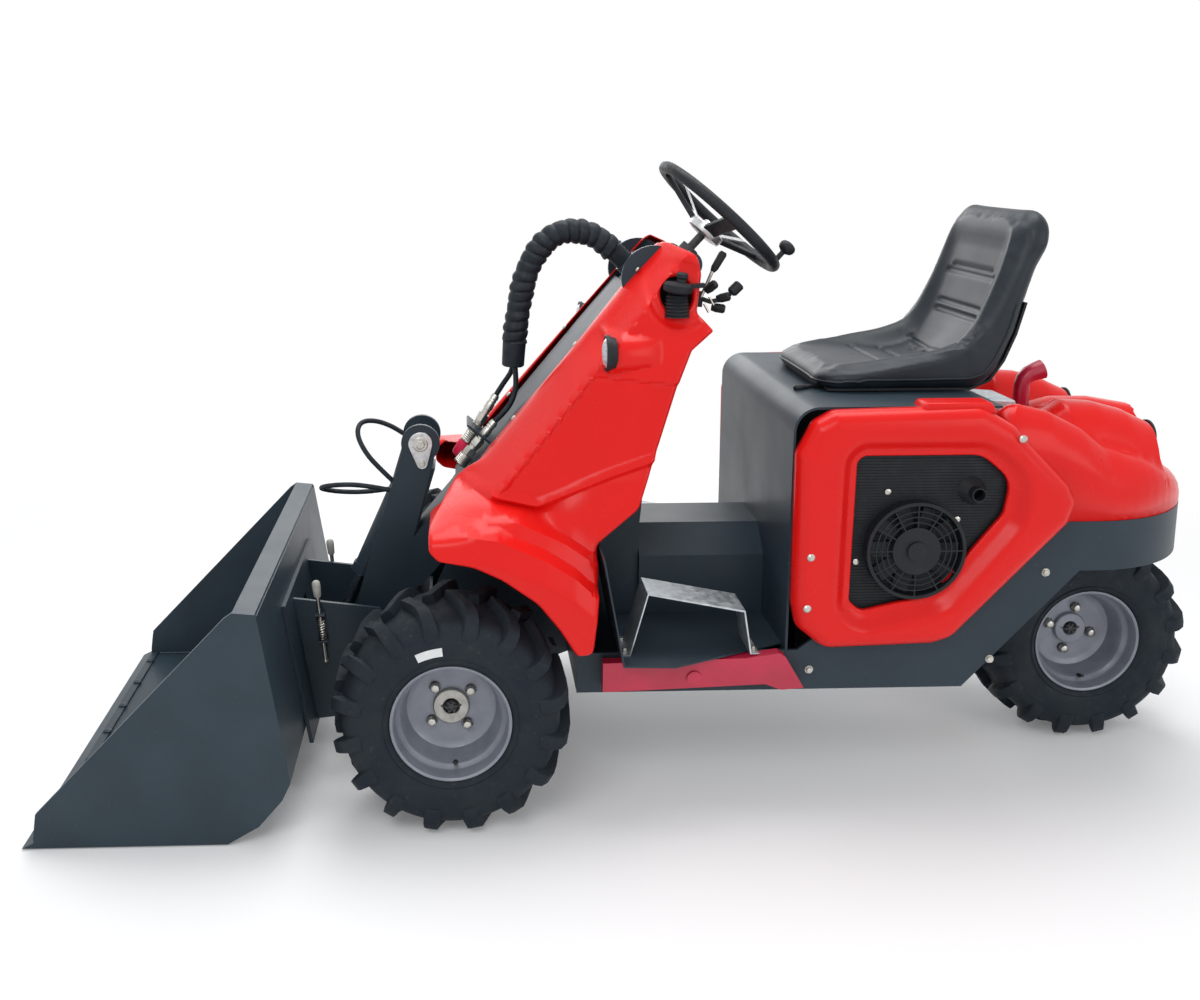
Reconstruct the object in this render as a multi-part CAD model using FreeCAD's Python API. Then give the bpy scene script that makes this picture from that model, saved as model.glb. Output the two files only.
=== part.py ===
import FreeCAD, Part
import math
import os

# Three-wheel mini loader: two driven front wheels, one driven and steered rear wheel,
# a single boom pinned at the top of a slanted mast, and a bucket on a quick coupler.
# Millimetres. X forward, Y to the driver's left, Z up. X is measured from the front axle
# while modelling, and every piece is moved along X when it is written, so that the
# origin of the written parts lies on the ground, halfway along the machine.

V = FreeCAD.Vector
os.makedirs("parts", exist_ok=True)

# ---------------------------------------------------------------- driving dimensions
nose_overhang = 978.0        # cutting edge ahead of the front axle
wheelbase = 1694.0           # front axle to rear axle
contact_gap = 0.3            # between pieces that only rest against each other
bearing_gap = 0.05           # radial clearance of shafts and pins

tyre_radius = 279.5          # over the lugs
tyre_width = 240.0
carcass_radius = 256.0       # tyre crown between the lugs
lug_count = 16               # on each half of the tread, a multiple of four
lug_shoulder = 36.0          # the lugs' tops fall this far towards the shoulder
lug_root = 12.0              # their roots lie this deep in the carcass
track_half = 400.0           # centre plane to front wheel centre
bead_radius = 127.0          # ten inch rim
rim_flange_radius = 140.5
rim_half_width = 108.0
rim_sheet = 5.0
rim_well_radius = 108.0
disc_offset = 8.0            # wheel disc outboard of the rim's centre
disc_thickness = 8.0
hub_radius = 40.0
hub_flange_radius = 75.0
hub_flange = 12.0
hub_cap = 22.0
shaft_radius = 20.0
shaft_length = 60.0
motor_radius = 62.0
motor_length = 135.0
motor_clearance = 6.0        # hub flange to motor

frame_half_width = 380.0     # outside of the side rails
rail_plate = 8.0
frame_bottom = 290.0
belly_plate = 6.0
rail_top = 390.0
rail_front = -300.0
rail_kick_x = -1235.0        # where the rails start to rise
belt_straight = 15.0         # of the belt's sides, ahead of its round corners
belt_bottom = 580.0
belt_top = 702.0
tail_overhang = 191.0        # rear end of the belt behind the rear axle
tail_corner = 340.0          # plan radius of the rear corners
bearing_plate = 8.0
bearing_seat_radius = 50.0
bearing_head_radius = 70.0
bearing_head = 60.0
spindle_radius = 30.0
knuckle_clearance = 6.0      # knuckle arm over the tyre
knuckle_arm = 10.0
knuckle_width = 150.0
knuckle_leg_gap = 15.0       # knuckle leg beside the tyre
knuckle_leg = 15.0

cheek_inner = 128.0          # mast cheek plates, inner face from the centre plane
cheek_plate = 10.0
cheek_top_radius = 80.0
mast_rear = -480.0
mast_web = 8.0
axle_beam_half = 40.0
axle_web_x = 62.0            # front face of the web that carries the axle beam
axle_web_low = 215.0
axle_web_top = 400.0

boom_pivot_x = -505.0
boom_pivot_z = 1262.0
boom_slope = 50.7            # degrees below the horizontal
boom_half_width = 62.5
boom_above = 33.5            # top skin over the pivot's line
boom_below = 66.5
boom_skin = 6.0
boom_boss_radius = 50.0
boom_side_gap = 5.0          # boom boss to cheek
boom_pin_radius = 20.0
boom_cover_half = 122.0
boom_cover_plate = 4.0
boom_cover_lip = 20.0
boom_cover_start = 55.0
boom_cover_end = 735.0
arm_pin_x = 78.0             # tilt cylinder's upper pin
arm_pin_z = 827.0
arm_top_radius = 50.0
arm_plate = 12.0
coupler_pin_x = 265.0
coupler_pin_z = 165.0
coupler_boss_radius = 45.0
coupler_pin_radius = 16.0
tilt_eye_x = 312.0
tilt_eye_z = 300.0
lift_eye_along = 300.0       # along the boom from its pivot
lift_eye_drop = 110.0        # under the boom's line
lift_base_x = -420.0
lift_base_z = 420.0
cylinder_pin_radius = 14.0
eye_radius = 26.0
eye_half_width = 18.0
ear_gap = 5.0                # each side of an eye on the boom or coupler
base_ear_gap = 1.0           # each side of the lift cylinder's base
ear_plate = 10.0
ear_radius = 32.0
lift_barrel_radius = 35.0
lift_barrel_length = 440.0
tilt_barrel_radius = 27.0
tilt_barrel_length = 400.0
cylinder_rod_radius = 16.0
barrel_start = 40.0          # barrel, its bore and the rod's end, from the base pin
bore_start = 60.0
rod_start = 105.0
gland_length = 24.0
gland_step = 4.0

coupler_plate_inner = 140.0
coupler_plate = 10.0
coupler_face_half = 260.0
bucket_half_width = 525.0
bucket_side = 10.0
bucket_skin = 8.0
bucket_ground = 4.0
edge_thickness = 14.0
edge_depth = 48.0

tunnel_top = 617.0
tunnel_top_half = 84.0
tunnel_bend = 550.0
tunnel_half = 152.0
tunnel_sheet = 4.0
floor_sheet = 4.0
floor_front = -400.0
floor_half = 465.0
floor_rear_half = 345.0
toe_top = 650.0              # slanted toe plate in front of the feet
toe_slant = 46.0
step_sheet = 3.0
step_reach = 30.0            # outboard of the rails
step_width = 110.0
box_front = -800.0           # front face of the seat box
box_top = 985.0
box_sheet = 6.0
box_rear = -1290.0
box_corner = 60.0
box_side_gap = 0.5
engine_front = -880.0
engine_rear = -1220.0
engine_half = 190.0
engine_top = 720.0

panel_depth = 50.0           # side panels stand out from the rails
panel_wall = 6.0
panel_lip = 14.0             # depth of the opening's turned edge
panel_round = 12.0
panel_corner = 26.0          # in the outline
window_corner = 14.0
screen_sheet = 4.0
screen_lap = 25.0
fan_x = -1093.0
fan_z = 645.0
fan_radius = 118.0
fan_ring = 8.0
fan_depth = 30.0
fan_disc_radius = 57.0
fan_boss_radius = 23.0
fan_shaft_radius = 5.0
fan_blades = 10
fan_hub_radius = 48.0
fan_blade_pitch = 18.0       # degrees
fan_blade_half = 18.0
fan_wire = 3.0               # guard hoops and spokes
fan_hoops = (70.0, 83.0, 96.0)
fan_spokes = 12
outlet_x = -1228.0
outlet_z = 783.0
outlet_radius = 17.0

fairing_wall = 6.0
fairing_flange = 30.0
fairing_half = 518.0
fairing_corner = 14.0
hood_wall = 5.0
hood_inset = 0.5
exhaust_y = 40.0
exhaust_radius = 20.0
exhaust_wall = 3.0

seat_half = 235.0
seat_base = 988.0
seat_pan_sheet = 6.0
seat_pan_top = 1205.0        # the pan stops here behind the backrest
seat_slider_half = 140.0
seat_round = 16.0

wheel_centre_x = -692.5      # steering wheel
wheel_centre_z = 1404.5
wheel_tilt = 42.4            # of its axis from the vertical
steering_radius = 188.0
steering_tube = 13.0
steering_hub_radius = 38.0
steering_hub = 34.0
spoke_radius = 9.0
knob_turn = 150.0            # degrees from straight ahead
knob_stem_radius = 7.0
knob_radius = 22.0
knob_height = 66.0
hub_drop = 75.0
column_radius = 11.0
column_foot = 150.0          # steering column's bracket under the wheel's plane
column_bracket = 8.0
column_bracket_half = 28.0

strut_gap = 8.0              # safety strut stowed beside the left rail
strut_depth = 30.0
strut_sheet = 4.0
strut_bolt_x = -575.0
strut_bolt_z = 340.0
strut_bolt_radius = 9.0
strut_washer_radius = 18.0

bundle_radius = 26.0
hose_radius = 7.0
loop_radius = 6.5
loop_side = 42.5             # loop hoses beside the tilt cylinder
port_radius = 9.0
port_length = 20.0
coupling_radius = 20.0       # hydraulic quick couplings
coupling_body_radius = 12.0
lever_rod_radius = 6.0       # control and lock levers
lever_grip_radius = 10.0
lever_side_gap = 4.0
lock_lever_gap = 12.0        # lock lever outboard of the coupler's plate
joystick_side = 262.0
joystick_boot = 30.0
joystick_head = 32.0
joystick_knob = 17.0

centre_x = (nose_overhang - wheelbase - tyre_radius) / 2
axle_height = tyre_radius
rear_axle_x = -wheelbase
tail_x = rear_axle_x - tail_overhang
belt_front = tail_x + tail_corner + belt_straight
step_outer = frame_half_width + step_reach
step_inner = step_outer - step_width
inside_rails = frame_half_width - rail_plate
strut_inner = frame_half_width + strut_gap
strut_outer = strut_inner + strut_depth
belly_top = frame_bottom + belly_plate
cheek_outer = cheek_inner + cheek_plate
panel_outer = frame_half_width + panel_depth

# ------------------------------------------------------------------------- helpers


def save(name, shape):
    moved = shape.copy()
    moved.translate(V(-centre_x, 0, 0))
    moved.exportStep("parts/" + name + ".step")


def block(x0, x1, y0, y1, z0, z1):
    return Part.makeBox(x1 - x0, y1 - y0, z1 - z0, V(x0, y0, z0))


def outline_face(loop):
    return Part.Face(Part.makePolygon(loop + [loop[0]]))


def side_face(points, y):
    return outline_face([V(x, y, z) for x, z in points])


def side_prism(points, y0, y1):
    return side_face(points, y0).extrude(V(0, y1 - y0, 0))


def rounded_outline(points, y, radius):
    """Side outline with its convex and concave corners rounded."""
    face = side_face(points, y).makeOffset2D(-radius).makeOffset2D(2 * radius)
    return face.makeOffset2D(-radius)


def spline_face(points, corners, x):
    """Face across the machine: a smooth line through points, closed round the corners."""
    line = Part.BSplineCurve()
    line.interpolate([V(x, y, z) for y, z in points])
    stops = [line.EndPoint] + [V(x, y, z) for y, z in corners] + [line.StartPoint]
    edges = [line.toShape()] + [Part.makeLine(stops[i], stops[i + 1]) for i in range(len(stops) - 1)]
    return Part.Face(Part.Wire(edges))


def inset_prism(points, inset, y0, y1):
    smaller = side_face(points, y0).makeOffset2D(-inset)
    return smaller.extrude(V(0, y1 - y0, 0))


def front_prism(points, x0, x1):
    face = outline_face([V(x0, y, z) for y, z in points])
    return face.extrude(V(x1 - x0, 0, 0))


def plan_prism(points, z0, z1):
    face = outline_face([V(x, y, z0) for x, y in points])
    return face.extrude(V(0, 0, z1 - z0))


def round_y(radius, x, z, y0, y1):
    return Part.makeCylinder(radius, abs(y1 - y0), V(x, min(y0, y1), z), V(0, 1, 0))


def rod_between(radius, start, end):
    along = end.sub(start)
    return Part.makeCylinder(radius, along.Length, start, along)


def turned(points, x, y, z):
    """Ring about an axle along Y: its section is given as radius and place along Y."""
    loop = [V(x + r, y + w, z) for r, w in points]
    return outline_face(loop).revolve(V(x, y, z), V(0, 1, 0), 360)


def fuse(shapes):
    result = shapes[0].fuse(shapes[1:])
    return result.removeSplitter()


def other_side(shape):
    return shape.mirror(V(0, 0, 0), V(0, 1, 0))


def both_sides(shape):
    return Part.makeCompound([shape, other_side(shape)])


def unit(vector):
    return vector * (1 / vector.Length)


def hose_path(stops):
    """Straight runs joined by tangent arcs, each as large as its two runs allow."""
    edges = []
    radii = []
    start = stops[0]
    for i in range(1, len(stops) - 1):
        into = stops[i] - stops[i - 1]
        out_of = stops[i + 1] - stops[i]
        trim = 0.45 * min(into.Length, out_of.Length)
        half_turn = into.getAngle(out_of) / 2
        radius = trim / math.tan(half_turn)
        first = stops[i] - unit(into) * trim
        last = stops[i] + unit(out_of) * trim
        inward = unit(unit(out_of) - unit(into))
        middle = stops[i] + inward * (radius / math.cos(half_turn) - radius)
        edges.append(Part.LineSegment(start, first).toShape())
        edges.append(Part.Arc(first, middle, last).toShape())
        radii.append(radius)
        start = last
    edges.append(Part.LineSegment(start, stops[-1]).toShape())
    return Part.Wire(edges), min(radii)


def hose(name, points, radius):
    stops = [V(*point) for point in points]
    path, tightest = hose_path(stops)
    circle = Part.makeCircle(radius, stops[0], stops[1] - stops[0])
    tube = path.makePipeShell([Part.Wire(circle)], True, False)
    expected = math.pi * radius ** 2 * path.Length
    fullness = round(tube.Volume / expected, 4)
    print(name, "length", round(path.Length), "tightest", round(tightest), "volume", fullness)
    save(name, tube)


# ------------------------------------------------------------------- shared places

boom_angle = math.radians(boom_slope)
boom_dir = (math.cos(boom_angle), -math.sin(boom_angle))
boom_up = (math.sin(boom_angle), math.cos(boom_angle))
cover_top = boom_above + boom_cover_plate


def boom_point(along, up):
    x = boom_pivot_x + along * boom_dir[0] + up * boom_up[0]
    z = boom_pivot_z + along * boom_dir[1] + up * boom_up[1]
    return (x, z)


lift_eye = boom_point(lift_eye_along, -lift_eye_drop)
tilt = math.radians(wheel_tilt)
wheel_axis = V(-math.sin(tilt), 0, math.cos(tilt))
wheel_across = V(math.cos(tilt), 0, math.sin(tilt))
wheel_centre = V(wheel_centre_x, 0, wheel_centre_z)
column_low = wheel_centre - wheel_axis * column_foot
disc_inner = disc_offset - disc_thickness
motor_outer = disc_inner - hub_flange - motor_clearance
motor_inner = motor_outer - motor_length

# -------------------------------------------------------------------------- wheels


def faceted_ring(section, sides):
    """Ring about the Y axis with flat facets: its section is given as radius and place along Y."""
    faces = []
    for i in range(sides):
        around = [math.radians((i + step - 0.5) * 360 / sides) for step in (0, 1)]
        for j in range(len(section)):
            pair = (section[j - 1], section[j])
            near, far = [[V(r * math.cos(a), y, r * math.sin(a)) for r, y in pair] for a in around]
            faces.append(outline_face(near + far[::-1]))
    return Part.makeSolid(Part.makeShell(faces))


def tyre_section():
    half = tyre_width / 2
    seat = rim_half_width - rim_sheet
    bead = (rim_flange_radius + contact_gap) / math.cos(math.pi / (2 * lug_count))
    outer = [(bead, seat), (bead + 14, half - 4)]
    outer += [(carcass_radius - 34, half - 2), (carcass_radius - 6, half - 34)]
    inner = [(carcass_radius - 40, half - 26)]
    loop = outer + [(r, -y) for r, y in reversed(outer)]
    return loop + [(r, -y) for r, y in reversed(inner)] + inner


def lug(turn, side):
    """A stepped bar from the crown to the shoulder, slanting back from the crown."""
    half = tyre_width / 2
    low = carcass_radius - lug_root
    plan = [(-24, 8), (4, 2), (24, 58), (19, half), (-19, half), (-14, 62)]
    fall = [(0, 0), (0, tyre_radius), (half - 46, tyre_radius), (half, tyre_radius - lug_shoulder), (half, 0)]
    bar = plan_prism([(t, side * y) for t, y in plan], low - 40, tyre_radius + 1)
    profile = front_prism([(side * y, z) for y, z in fall], -40, 40)
    root = [(0, 0), (0, low), (half - 34, low), (half - 10, low - 44), (half - 10, 0)]
    under = front_prism([(side * y, z) for y, z in root], -40, 40)
    bar = bar.common(profile).cut(under)
    bar.rotate(V(0, 0, 0), V(0, 1, 0), turn)
    return bar


def tyre():
    pitch = 360 / lug_count
    lugs = [lug(i * pitch, 1) for i in range(lug_count)]
    lugs += [lug((i + 0.5) * pitch, -1) for i in range(lug_count)]
    return fuse([faceted_ring(tyre_section(), 2 * lug_count)] + lugs)


def placed_tyre(x, y):
    placed = whole_tyre.copy()
    placed.translate(V(x, y, axle_height))
    return placed


def rim_section():
    half = rim_half_width
    bead = [(rim_flange_radius, half), (rim_flange_radius, half - rim_sheet), (bead_radius, half - rim_sheet)]
    bead += [(bead_radius, half - 34), (rim_well_radius + rim_sheet, half - 50)]
    under = [(rim_well_radius, half - 52), (bead_radius - rim_sheet, half - 36)]
    under.append((bead_radius - rim_sheet, half))
    return bead + [(r, -w) for r, w in reversed(bead)] + [(r, -w) for r, w in reversed(under)] + under


def rim(x, y, side):
    barrel = turned(rim_section(), x, y, axle_height)
    inner = y + side * disc_inner
    outer = y + side * disc_offset
    flange_in = inner - side * hub_flange
    cap_out = outer + side * hub_cap
    z = axle_height
    pieces = [barrel, round_y(rim_well_radius + rim_sheet / 2, x, z, inner, outer)]
    pieces.append(round_y(hub_flange_radius, x, z, inner, flange_in))
    pieces.append(round_y(hub_radius, x, z, outer, cap_out))
    pieces.append(round_y(shaft_radius, x, z, flange_in, flange_in - side * shaft_length))
    return fuse(pieces)


def hub_motor(x, y, side):
    start = y + side * motor_outer
    body = round_y(motor_radius, x, axle_height, start, y + side * motor_inner)
    bore_end = start - side * (shaft_length + 2)
    bore = round_y(shaft_radius + bearing_gap, x, axle_height, start + side, bore_end)
    return body.cut(bore)


whole_tyre = tyre()
front_tyre = placed_tyre(0, track_half)
save("front_tyre_left", front_tyre)
save("front_tyre_right", other_side(front_tyre))
save("rear_tyre", placed_tyre(rear_axle_x, 0))
for name, y, side in (("left", track_half, 1), ("right", -track_half, -1)):
    save("front_rim_" + name, rim(0, y, side))
save("rear_rim", rim(rear_axle_x, 0, 1))
save("front_motors", both_sides(hub_motor(0, track_half, 1)))
save("rear_motor", hub_motor(rear_axle_x, 0, 1))

# --------------------------------------------------------------- frame, mast, belt


def side_rail():
    outline = [(rail_front, frame_bottom), (rail_kick_x, frame_bottom), (belt_front + 25, belt_bottom)]
    outline += [(belt_front, belt_bottom), (belt_front, belt_top), (belt_front + 150, belt_top)]
    outline.append((belt_front + 280, 560))
    outline += [(-1000, 520), (box_front - 30, rail_top), (rail_front, rail_top)]
    return side_prism(outline, inside_rails, frame_half_width)


def chassis_frame():
    left = side_rail()
    belly = block(rail_kick_x, rail_front, -inside_rails, inside_rails, frame_bottom, belly_top)
    bulkhead = block(rail_front - rail_plate, rail_front, -inside_rails, inside_rails, frame_bottom, rail_top)
    bolt = round_y(strut_bolt_radius, strut_bolt_x, strut_bolt_z, frame_half_width, strut_outer - strut_sheet)
    return fuse([belly, bulkhead, left, other_side(left), bolt])


def cheek_outline():
    front = boom_point(60, boom_above - 12)
    low_front = boom_point(boom_cover_end + 30, boom_above - 12)
    outline = [front, low_front, (0, 560), (axle_web_x, 420), (axle_web_x, axle_web_low), (-60, 200)]
    outline.append((rail_front, frame_bottom))
    outline += [(rail_front, belly_top), (mast_rear, belly_top), (mast_rear, 620), (-500, 840), (-585, 1180)]
    return outline


def mast_cheek():
    y0 = cheek_inner
    y1 = cheek_outer
    head = round_y(cheek_top_radius, boom_pivot_x, boom_pivot_z, y0, y1)
    ear = round_y(column_bracket_half + 6, column_low.x, column_low.z, y0, y1)
    bore = round_y(boom_pin_radius, boom_pivot_x, boom_pivot_z, y0, y1)
    slot = block(rail_front - rail_plate, rail_front, y0, y1, frame_bottom, rail_top)
    return fuse([side_prism(cheek_outline(), y0, y1), head, ear]).cut(bore).cut(slot)


def lift_base_ear():
    y0 = eye_half_width + base_ear_gap
    y1 = y0 + ear_plate
    head = round_y(ear_radius, lift_base_x, lift_base_z, y0, y1)
    leg = block(lift_base_x - ear_radius, lift_base_x + ear_radius, y0, y1, belly_top, lift_base_z)
    return fuse([head, leg]).cut(round_y(cylinder_pin_radius, lift_base_x, lift_base_z, y0, y1))


def mast_frame():
    cheek = mast_cheek()
    ear = lift_base_ear()
    beam_end = track_half + motor_inner
    beam = block(-axle_beam_half, axle_beam_half, -beam_end, beam_end,
                 axle_height - axle_beam_half, axle_height + axle_beam_half)
    rear_web = block(mast_rear, mast_rear + mast_web, -cheek_inner, cheek_inner, belly_top, tunnel_top - 2)
    web_x = axle_web_x - mast_web
    front_web = block(web_x, axle_web_x, -cheek_inner, cheek_inner, axle_web_low, axle_web_top)
    floor_top = belly_top + mast_web
    sill = block(mast_rear, rail_front - rail_plate, -cheek_inner, cheek_inner, belly_top, floor_top)
    floor = block(rail_front, web_x, -cheek_inner, cheek_inner, belly_top, floor_top)
    return fuse([beam, cheek, other_side(cheek), rear_web, front_web, sill, floor, ear, other_side(ear)])


def mast_pins():
    base_reach = eye_half_width + base_ear_gap + ear_plate
    upper = round_y(boom_pin_radius, boom_pivot_x, boom_pivot_z, -cheek_outer, cheek_outer)
    lower = round_y(cylinder_pin_radius, lift_base_x, lift_base_z, -base_reach, base_reach)
    return Part.makeCompound([upper, lower])


save("chassis_frame", chassis_frame())
save("mast_frame", mast_frame())
save("mast_pins", mast_pins())


def belt_plan(inset, front):
    half = frame_half_width - inset
    corner = tail_corner - inset
    rear = tail_x + inset
    mid = math.sqrt(0.5) * corner
    start = V(rear + corner, half, 0)
    middle = V(rear + corner - mid, half - corner + mid, 0)
    end = V(rear, half - corner, 0)
    left = Part.Arc(start, middle, end).toShape()
    right = left.mirror(V(0, 0, 0), V(0, 1, 0))
    stops = [V(rear + corner, -half, 0), V(front, -half, 0), V(front, half, 0), start]
    edges = [Part.makeLine(stops[i], stops[i + 1]) for i in range(3)]
    edges += [left, Part.makeLine(end, V(end.x, -end.y, 0)), right]
    return Part.Face(Part.Wire(Part.__sortEdges__(edges)))


def plan_solid(inset, front, z0, z1):
    face = belt_plan(inset, front)
    face.translate(V(0, 0, z0))
    return face.extrude(V(0, 0, z1 - z0))


def rear_belt():
    outer = plan_solid(0, belt_front, belt_bottom, belt_top)
    inner = plan_solid(rail_plate, belt_front + 1, belt_bottom + bearing_plate, belt_top + 1)
    hole = Part.makeCylinder(bearing_seat_radius, bearing_plate, V(rear_axle_x, 0, belt_bottom))
    return outer.cut(inner).cut(hole)


def steering_bearing():
    seat = Part.makeCylinder(bearing_seat_radius, bearing_plate, V(rear_axle_x, 0, belt_bottom))
    top = V(rear_axle_x, 0, belt_bottom + bearing_plate)
    head = Part.makeCylinder(bearing_head_radius, bearing_head, top)
    low = V(rear_axle_x, 0, belt_bottom - 2)
    bore = Part.makeCylinder(spindle_radius + bearing_gap, bearing_head + 20, low)
    return fuse([seat, head]).cut(bore)


def rear_knuckle():
    z0 = 2 * tyre_radius + knuckle_clearance
    z1 = z0 + knuckle_arm
    x0 = rear_axle_x - knuckle_width / 2
    x1 = rear_axle_x + knuckle_width / 2
    y1 = -tyre_width / 2 - knuckle_leg_gap
    y0 = y1 - knuckle_leg
    spindle_length = belt_bottom + bearing_plate + bearing_head - z1 - 10
    spindle = Part.makeCylinder(spindle_radius, spindle_length, V(rear_axle_x, 0, z1))
    arm = block(x0, x1, y0, knuckle_width / 2, z0, z1)
    leg = block(x0, x1, y0, y1, axle_height - motor_radius - 8, z1)
    hole = round_y(motor_radius, rear_axle_x, axle_height, y0, y1)
    return fuse([spindle, arm, leg]).cut(hole)


save("rear_belt", rear_belt())
save("steering_bearing", steering_bearing())
save("rear_knuckle", rear_knuckle())
save("engine_block", block(engine_rear, engine_front, -engine_half, engine_half, belly_top, engine_top))

# -------------------------------------------------------- covers, floor and steps


def tunnel_section(sheet):
    half = tunnel_half - sheet
    side = [(half, belly_top - sheet), (half, tunnel_bend - sheet / 2), (tunnel_top_half, tunnel_top - sheet)]
    return [(-y, z) for y, z in side] + [(y, z) for y, z in reversed(side)]


def tunnel_cover():
    outer = front_prism(tunnel_section(0), box_front, mast_rear)
    return outer.cut(front_prism(tunnel_section(tunnel_sheet), box_front - 1, mast_rear + 1))


def footplate():
    z0 = rail_top
    plan = [(floor_front, tunnel_half), (floor_front, floor_half), (-520, floor_half + 7), (-710, 385)]
    plan += [(box_front, floor_rear_half), (box_front, tunnel_half)]
    floor = plan_prism(plan, z0, z0 + floor_sheet)
    toe_x = floor_front + toe_slant
    toe = [(floor_front, z0), (floor_front - floor_sheet, z0), (toe_x, toe_top)]
    toe.append((toe_x + floor_sheet, toe_top))
    return fuse([floor, side_prism(toe, tunnel_half, floor_half)])


def step():
    t = step_sheet
    foot = rail_top + floor_sheet
    outer = [(-404, foot), (-404, foot + t), (-422, foot + t), (-462, 548), (-694, 503), (-712, foot + t)]
    outer += [(-730, foot + t), (-730, foot), (-709, foot), (-691, 499), (-464, 544), (-424, foot)]
    return side_prism(outer, step_inner, step_outer)


def box_shell(inset):
    """Front and top of the seat box, filled, with its upper front edge rounded."""
    x1 = box_front - inset
    z1 = box_top - inset
    reach = frame_half_width - box_side_gap + inset
    solid = block(box_rear - inset, x1, -reach, reach, rail_top + box_side_gap - inset, z1)
    edges = [e for e in solid.Edges if abs(e.CenterOfMass.x - x1) < 1 and abs(e.CenterOfMass.z - z1) < 1]
    return solid.makeFillet(box_corner - inset, edges)


def seat_box():
    low_half = inside_rails - box_side_gap
    low_top = rail_top + box_side_gap
    low = block(box_front - box_sheet, box_front, -low_half, low_half, belly_top, low_top)
    return fuse([box_shell(0).cut(box_shell(box_sheet)), low])


save("tunnel_cover", tunnel_cover())
save("footplates", both_sides(footplate()))
save("steps", both_sides(step()))
save("seat_box", seat_box())

# --------------------------------------------------------------------- side panels

panel_outline = [(-802, 880), (-830, 950), (-880, 981), (-1231, 989), (-1312, 942), (-1347, 902)]
panel_outline += [(-1455, 794), (-1468, 760), (-1455, 713), (-1189, 428), (-1143, 414), (-883, 406)]
panel_outline += [(-817, 468), (-805, 518)]
panel_opening = [(-946, 860), (-960, 873), (-1250, 873), (-1315, 810), (-1304, 735), (-1143, 535)]
panel_opening += [(-971, 495), (-940, 520)]


def rim_edges(solid, y):
    """Edges of a solid's flat outer face."""
    return [e for e in solid.Edges if all(abs(v.Point.y - y) < 0.01 for v in e.Vertexes)]


def side_panel():
    y0 = frame_half_width
    face = rounded_outline(panel_outline, y0, panel_corner)
    outer = face.extrude(V(0, panel_depth, 0))
    window = rounded_outline(panel_opening, y0, window_corner)
    hole = window.copy()
    hole.translate(V(0, -1, 0))
    outer = outer.cut(hole.extrude(V(0, panel_depth + 2, 0)))
    outer = outer.makeFillet(panel_round, rim_edges(outer, panel_outer))
    smaller = face.makeOffset2D(-panel_wall)
    smaller.translate(V(0, -1, 0))
    cavity = smaller.extrude(V(0, panel_depth + 1 - panel_round, 0))
    lip = window.makeOffset2D(panel_wall).extrude(V(0, panel_depth, 0))
    return outer.cut(cavity.cut(lip.cut(block(-2000, 0, 0, panel_outer - panel_lip, 0, 2000))))


def screen():
    return inset_prism(panel_opening, -screen_lap, frame_half_width, frame_half_width + screen_sheet)


def air_outlet():
    y0 = frame_half_width + screen_sheet
    cone = Part.makeCone(2 * outlet_radius, outlet_radius, 20, V(outlet_x, y0, outlet_z), V(0, 1, 0))
    tube = round_y(outlet_radius, outlet_x, outlet_z, y0 + 20, y0 + 42)
    hole = round_y(outlet_radius - 3, outlet_x, outlet_z, y0 + 5, y0 + 43)
    return fuse([cone, tube]).cut(hole)


left_panel = side_panel()
save("side_panel_left", left_panel)
save("side_panel_right", other_side(left_panel))
save("screens", both_sides(screen()))
save("air_outlet", air_outlet())

# ----------------------------------------------------------------------------- fan


def fan_shroud():
    y0 = frame_half_width + screen_sheet
    y1 = y0 + fan_depth
    guard = y1 - fan_wire
    half_wire = fan_wire / 2
    ring = round_y(fan_radius, fan_x, fan_z, y0, y1)
    ring = ring.cut(round_y(fan_radius - fan_ring, fan_x, fan_z, y0, y1))
    pieces = [ring, round_y(fan_disc_radius, fan_x, fan_z, y1 - 4, y1)]
    pieces.append(round_y(fan_boss_radius, fan_x, fan_z, y1, y1 + 6))
    pieces.append(round_y(fan_shaft_radius, fan_x, fan_z, y0, y1 - 4))
    for radius in fan_hoops:
        hoop = round_y(radius + half_wire, fan_x, fan_z, guard, y1)
        pieces.append(hoop.cut(round_y(radius - half_wire, fan_x, fan_z, guard, y1)))
    for i in range(fan_spokes):
        start = fan_x + fan_disc_radius - 2
        spoke = block(start, fan_x + fan_radius - 2, guard, y1, fan_z - half_wire, fan_z + half_wire)
        spoke.rotate(V(fan_x, 0, fan_z), V(0, 1, 0), i * 360 / fan_spokes)
        pieces.append(spoke)
    return fuse(pieces)


def fan_rotor():
    y0 = frame_half_width + screen_sheet + 3
    y1 = y0 + fan_depth - 12
    mid = (y0 + y1) / 2
    root = fan_x + fan_hub_radius - 8
    tip = fan_x + fan_radius - fan_ring - 6
    pieces = [round_y(fan_hub_radius, fan_x, fan_z, y0, y1)]
    for i in range(fan_blades):
        blade = block(root, tip, mid - 1.5, mid + 1.5, fan_z - fan_blade_half, fan_z + fan_blade_half)
        blade.rotate(V(fan_x, mid, fan_z), V(1, 0, 0), fan_blade_pitch)
        blade.rotate(V(fan_x, 0, fan_z), V(0, 1, 0), i * 360 / fan_blades)
        pieces.append(blade)
    bore = round_y(fan_shaft_radius + bearing_gap, fan_x, fan_z, y0, y1)
    return fuse(pieces).cut(bore)


save("fan_shroud", fan_shroud())
save("fan_rotor", fan_rotor())

# ------------------------------------------------------------------------ fairings

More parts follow.
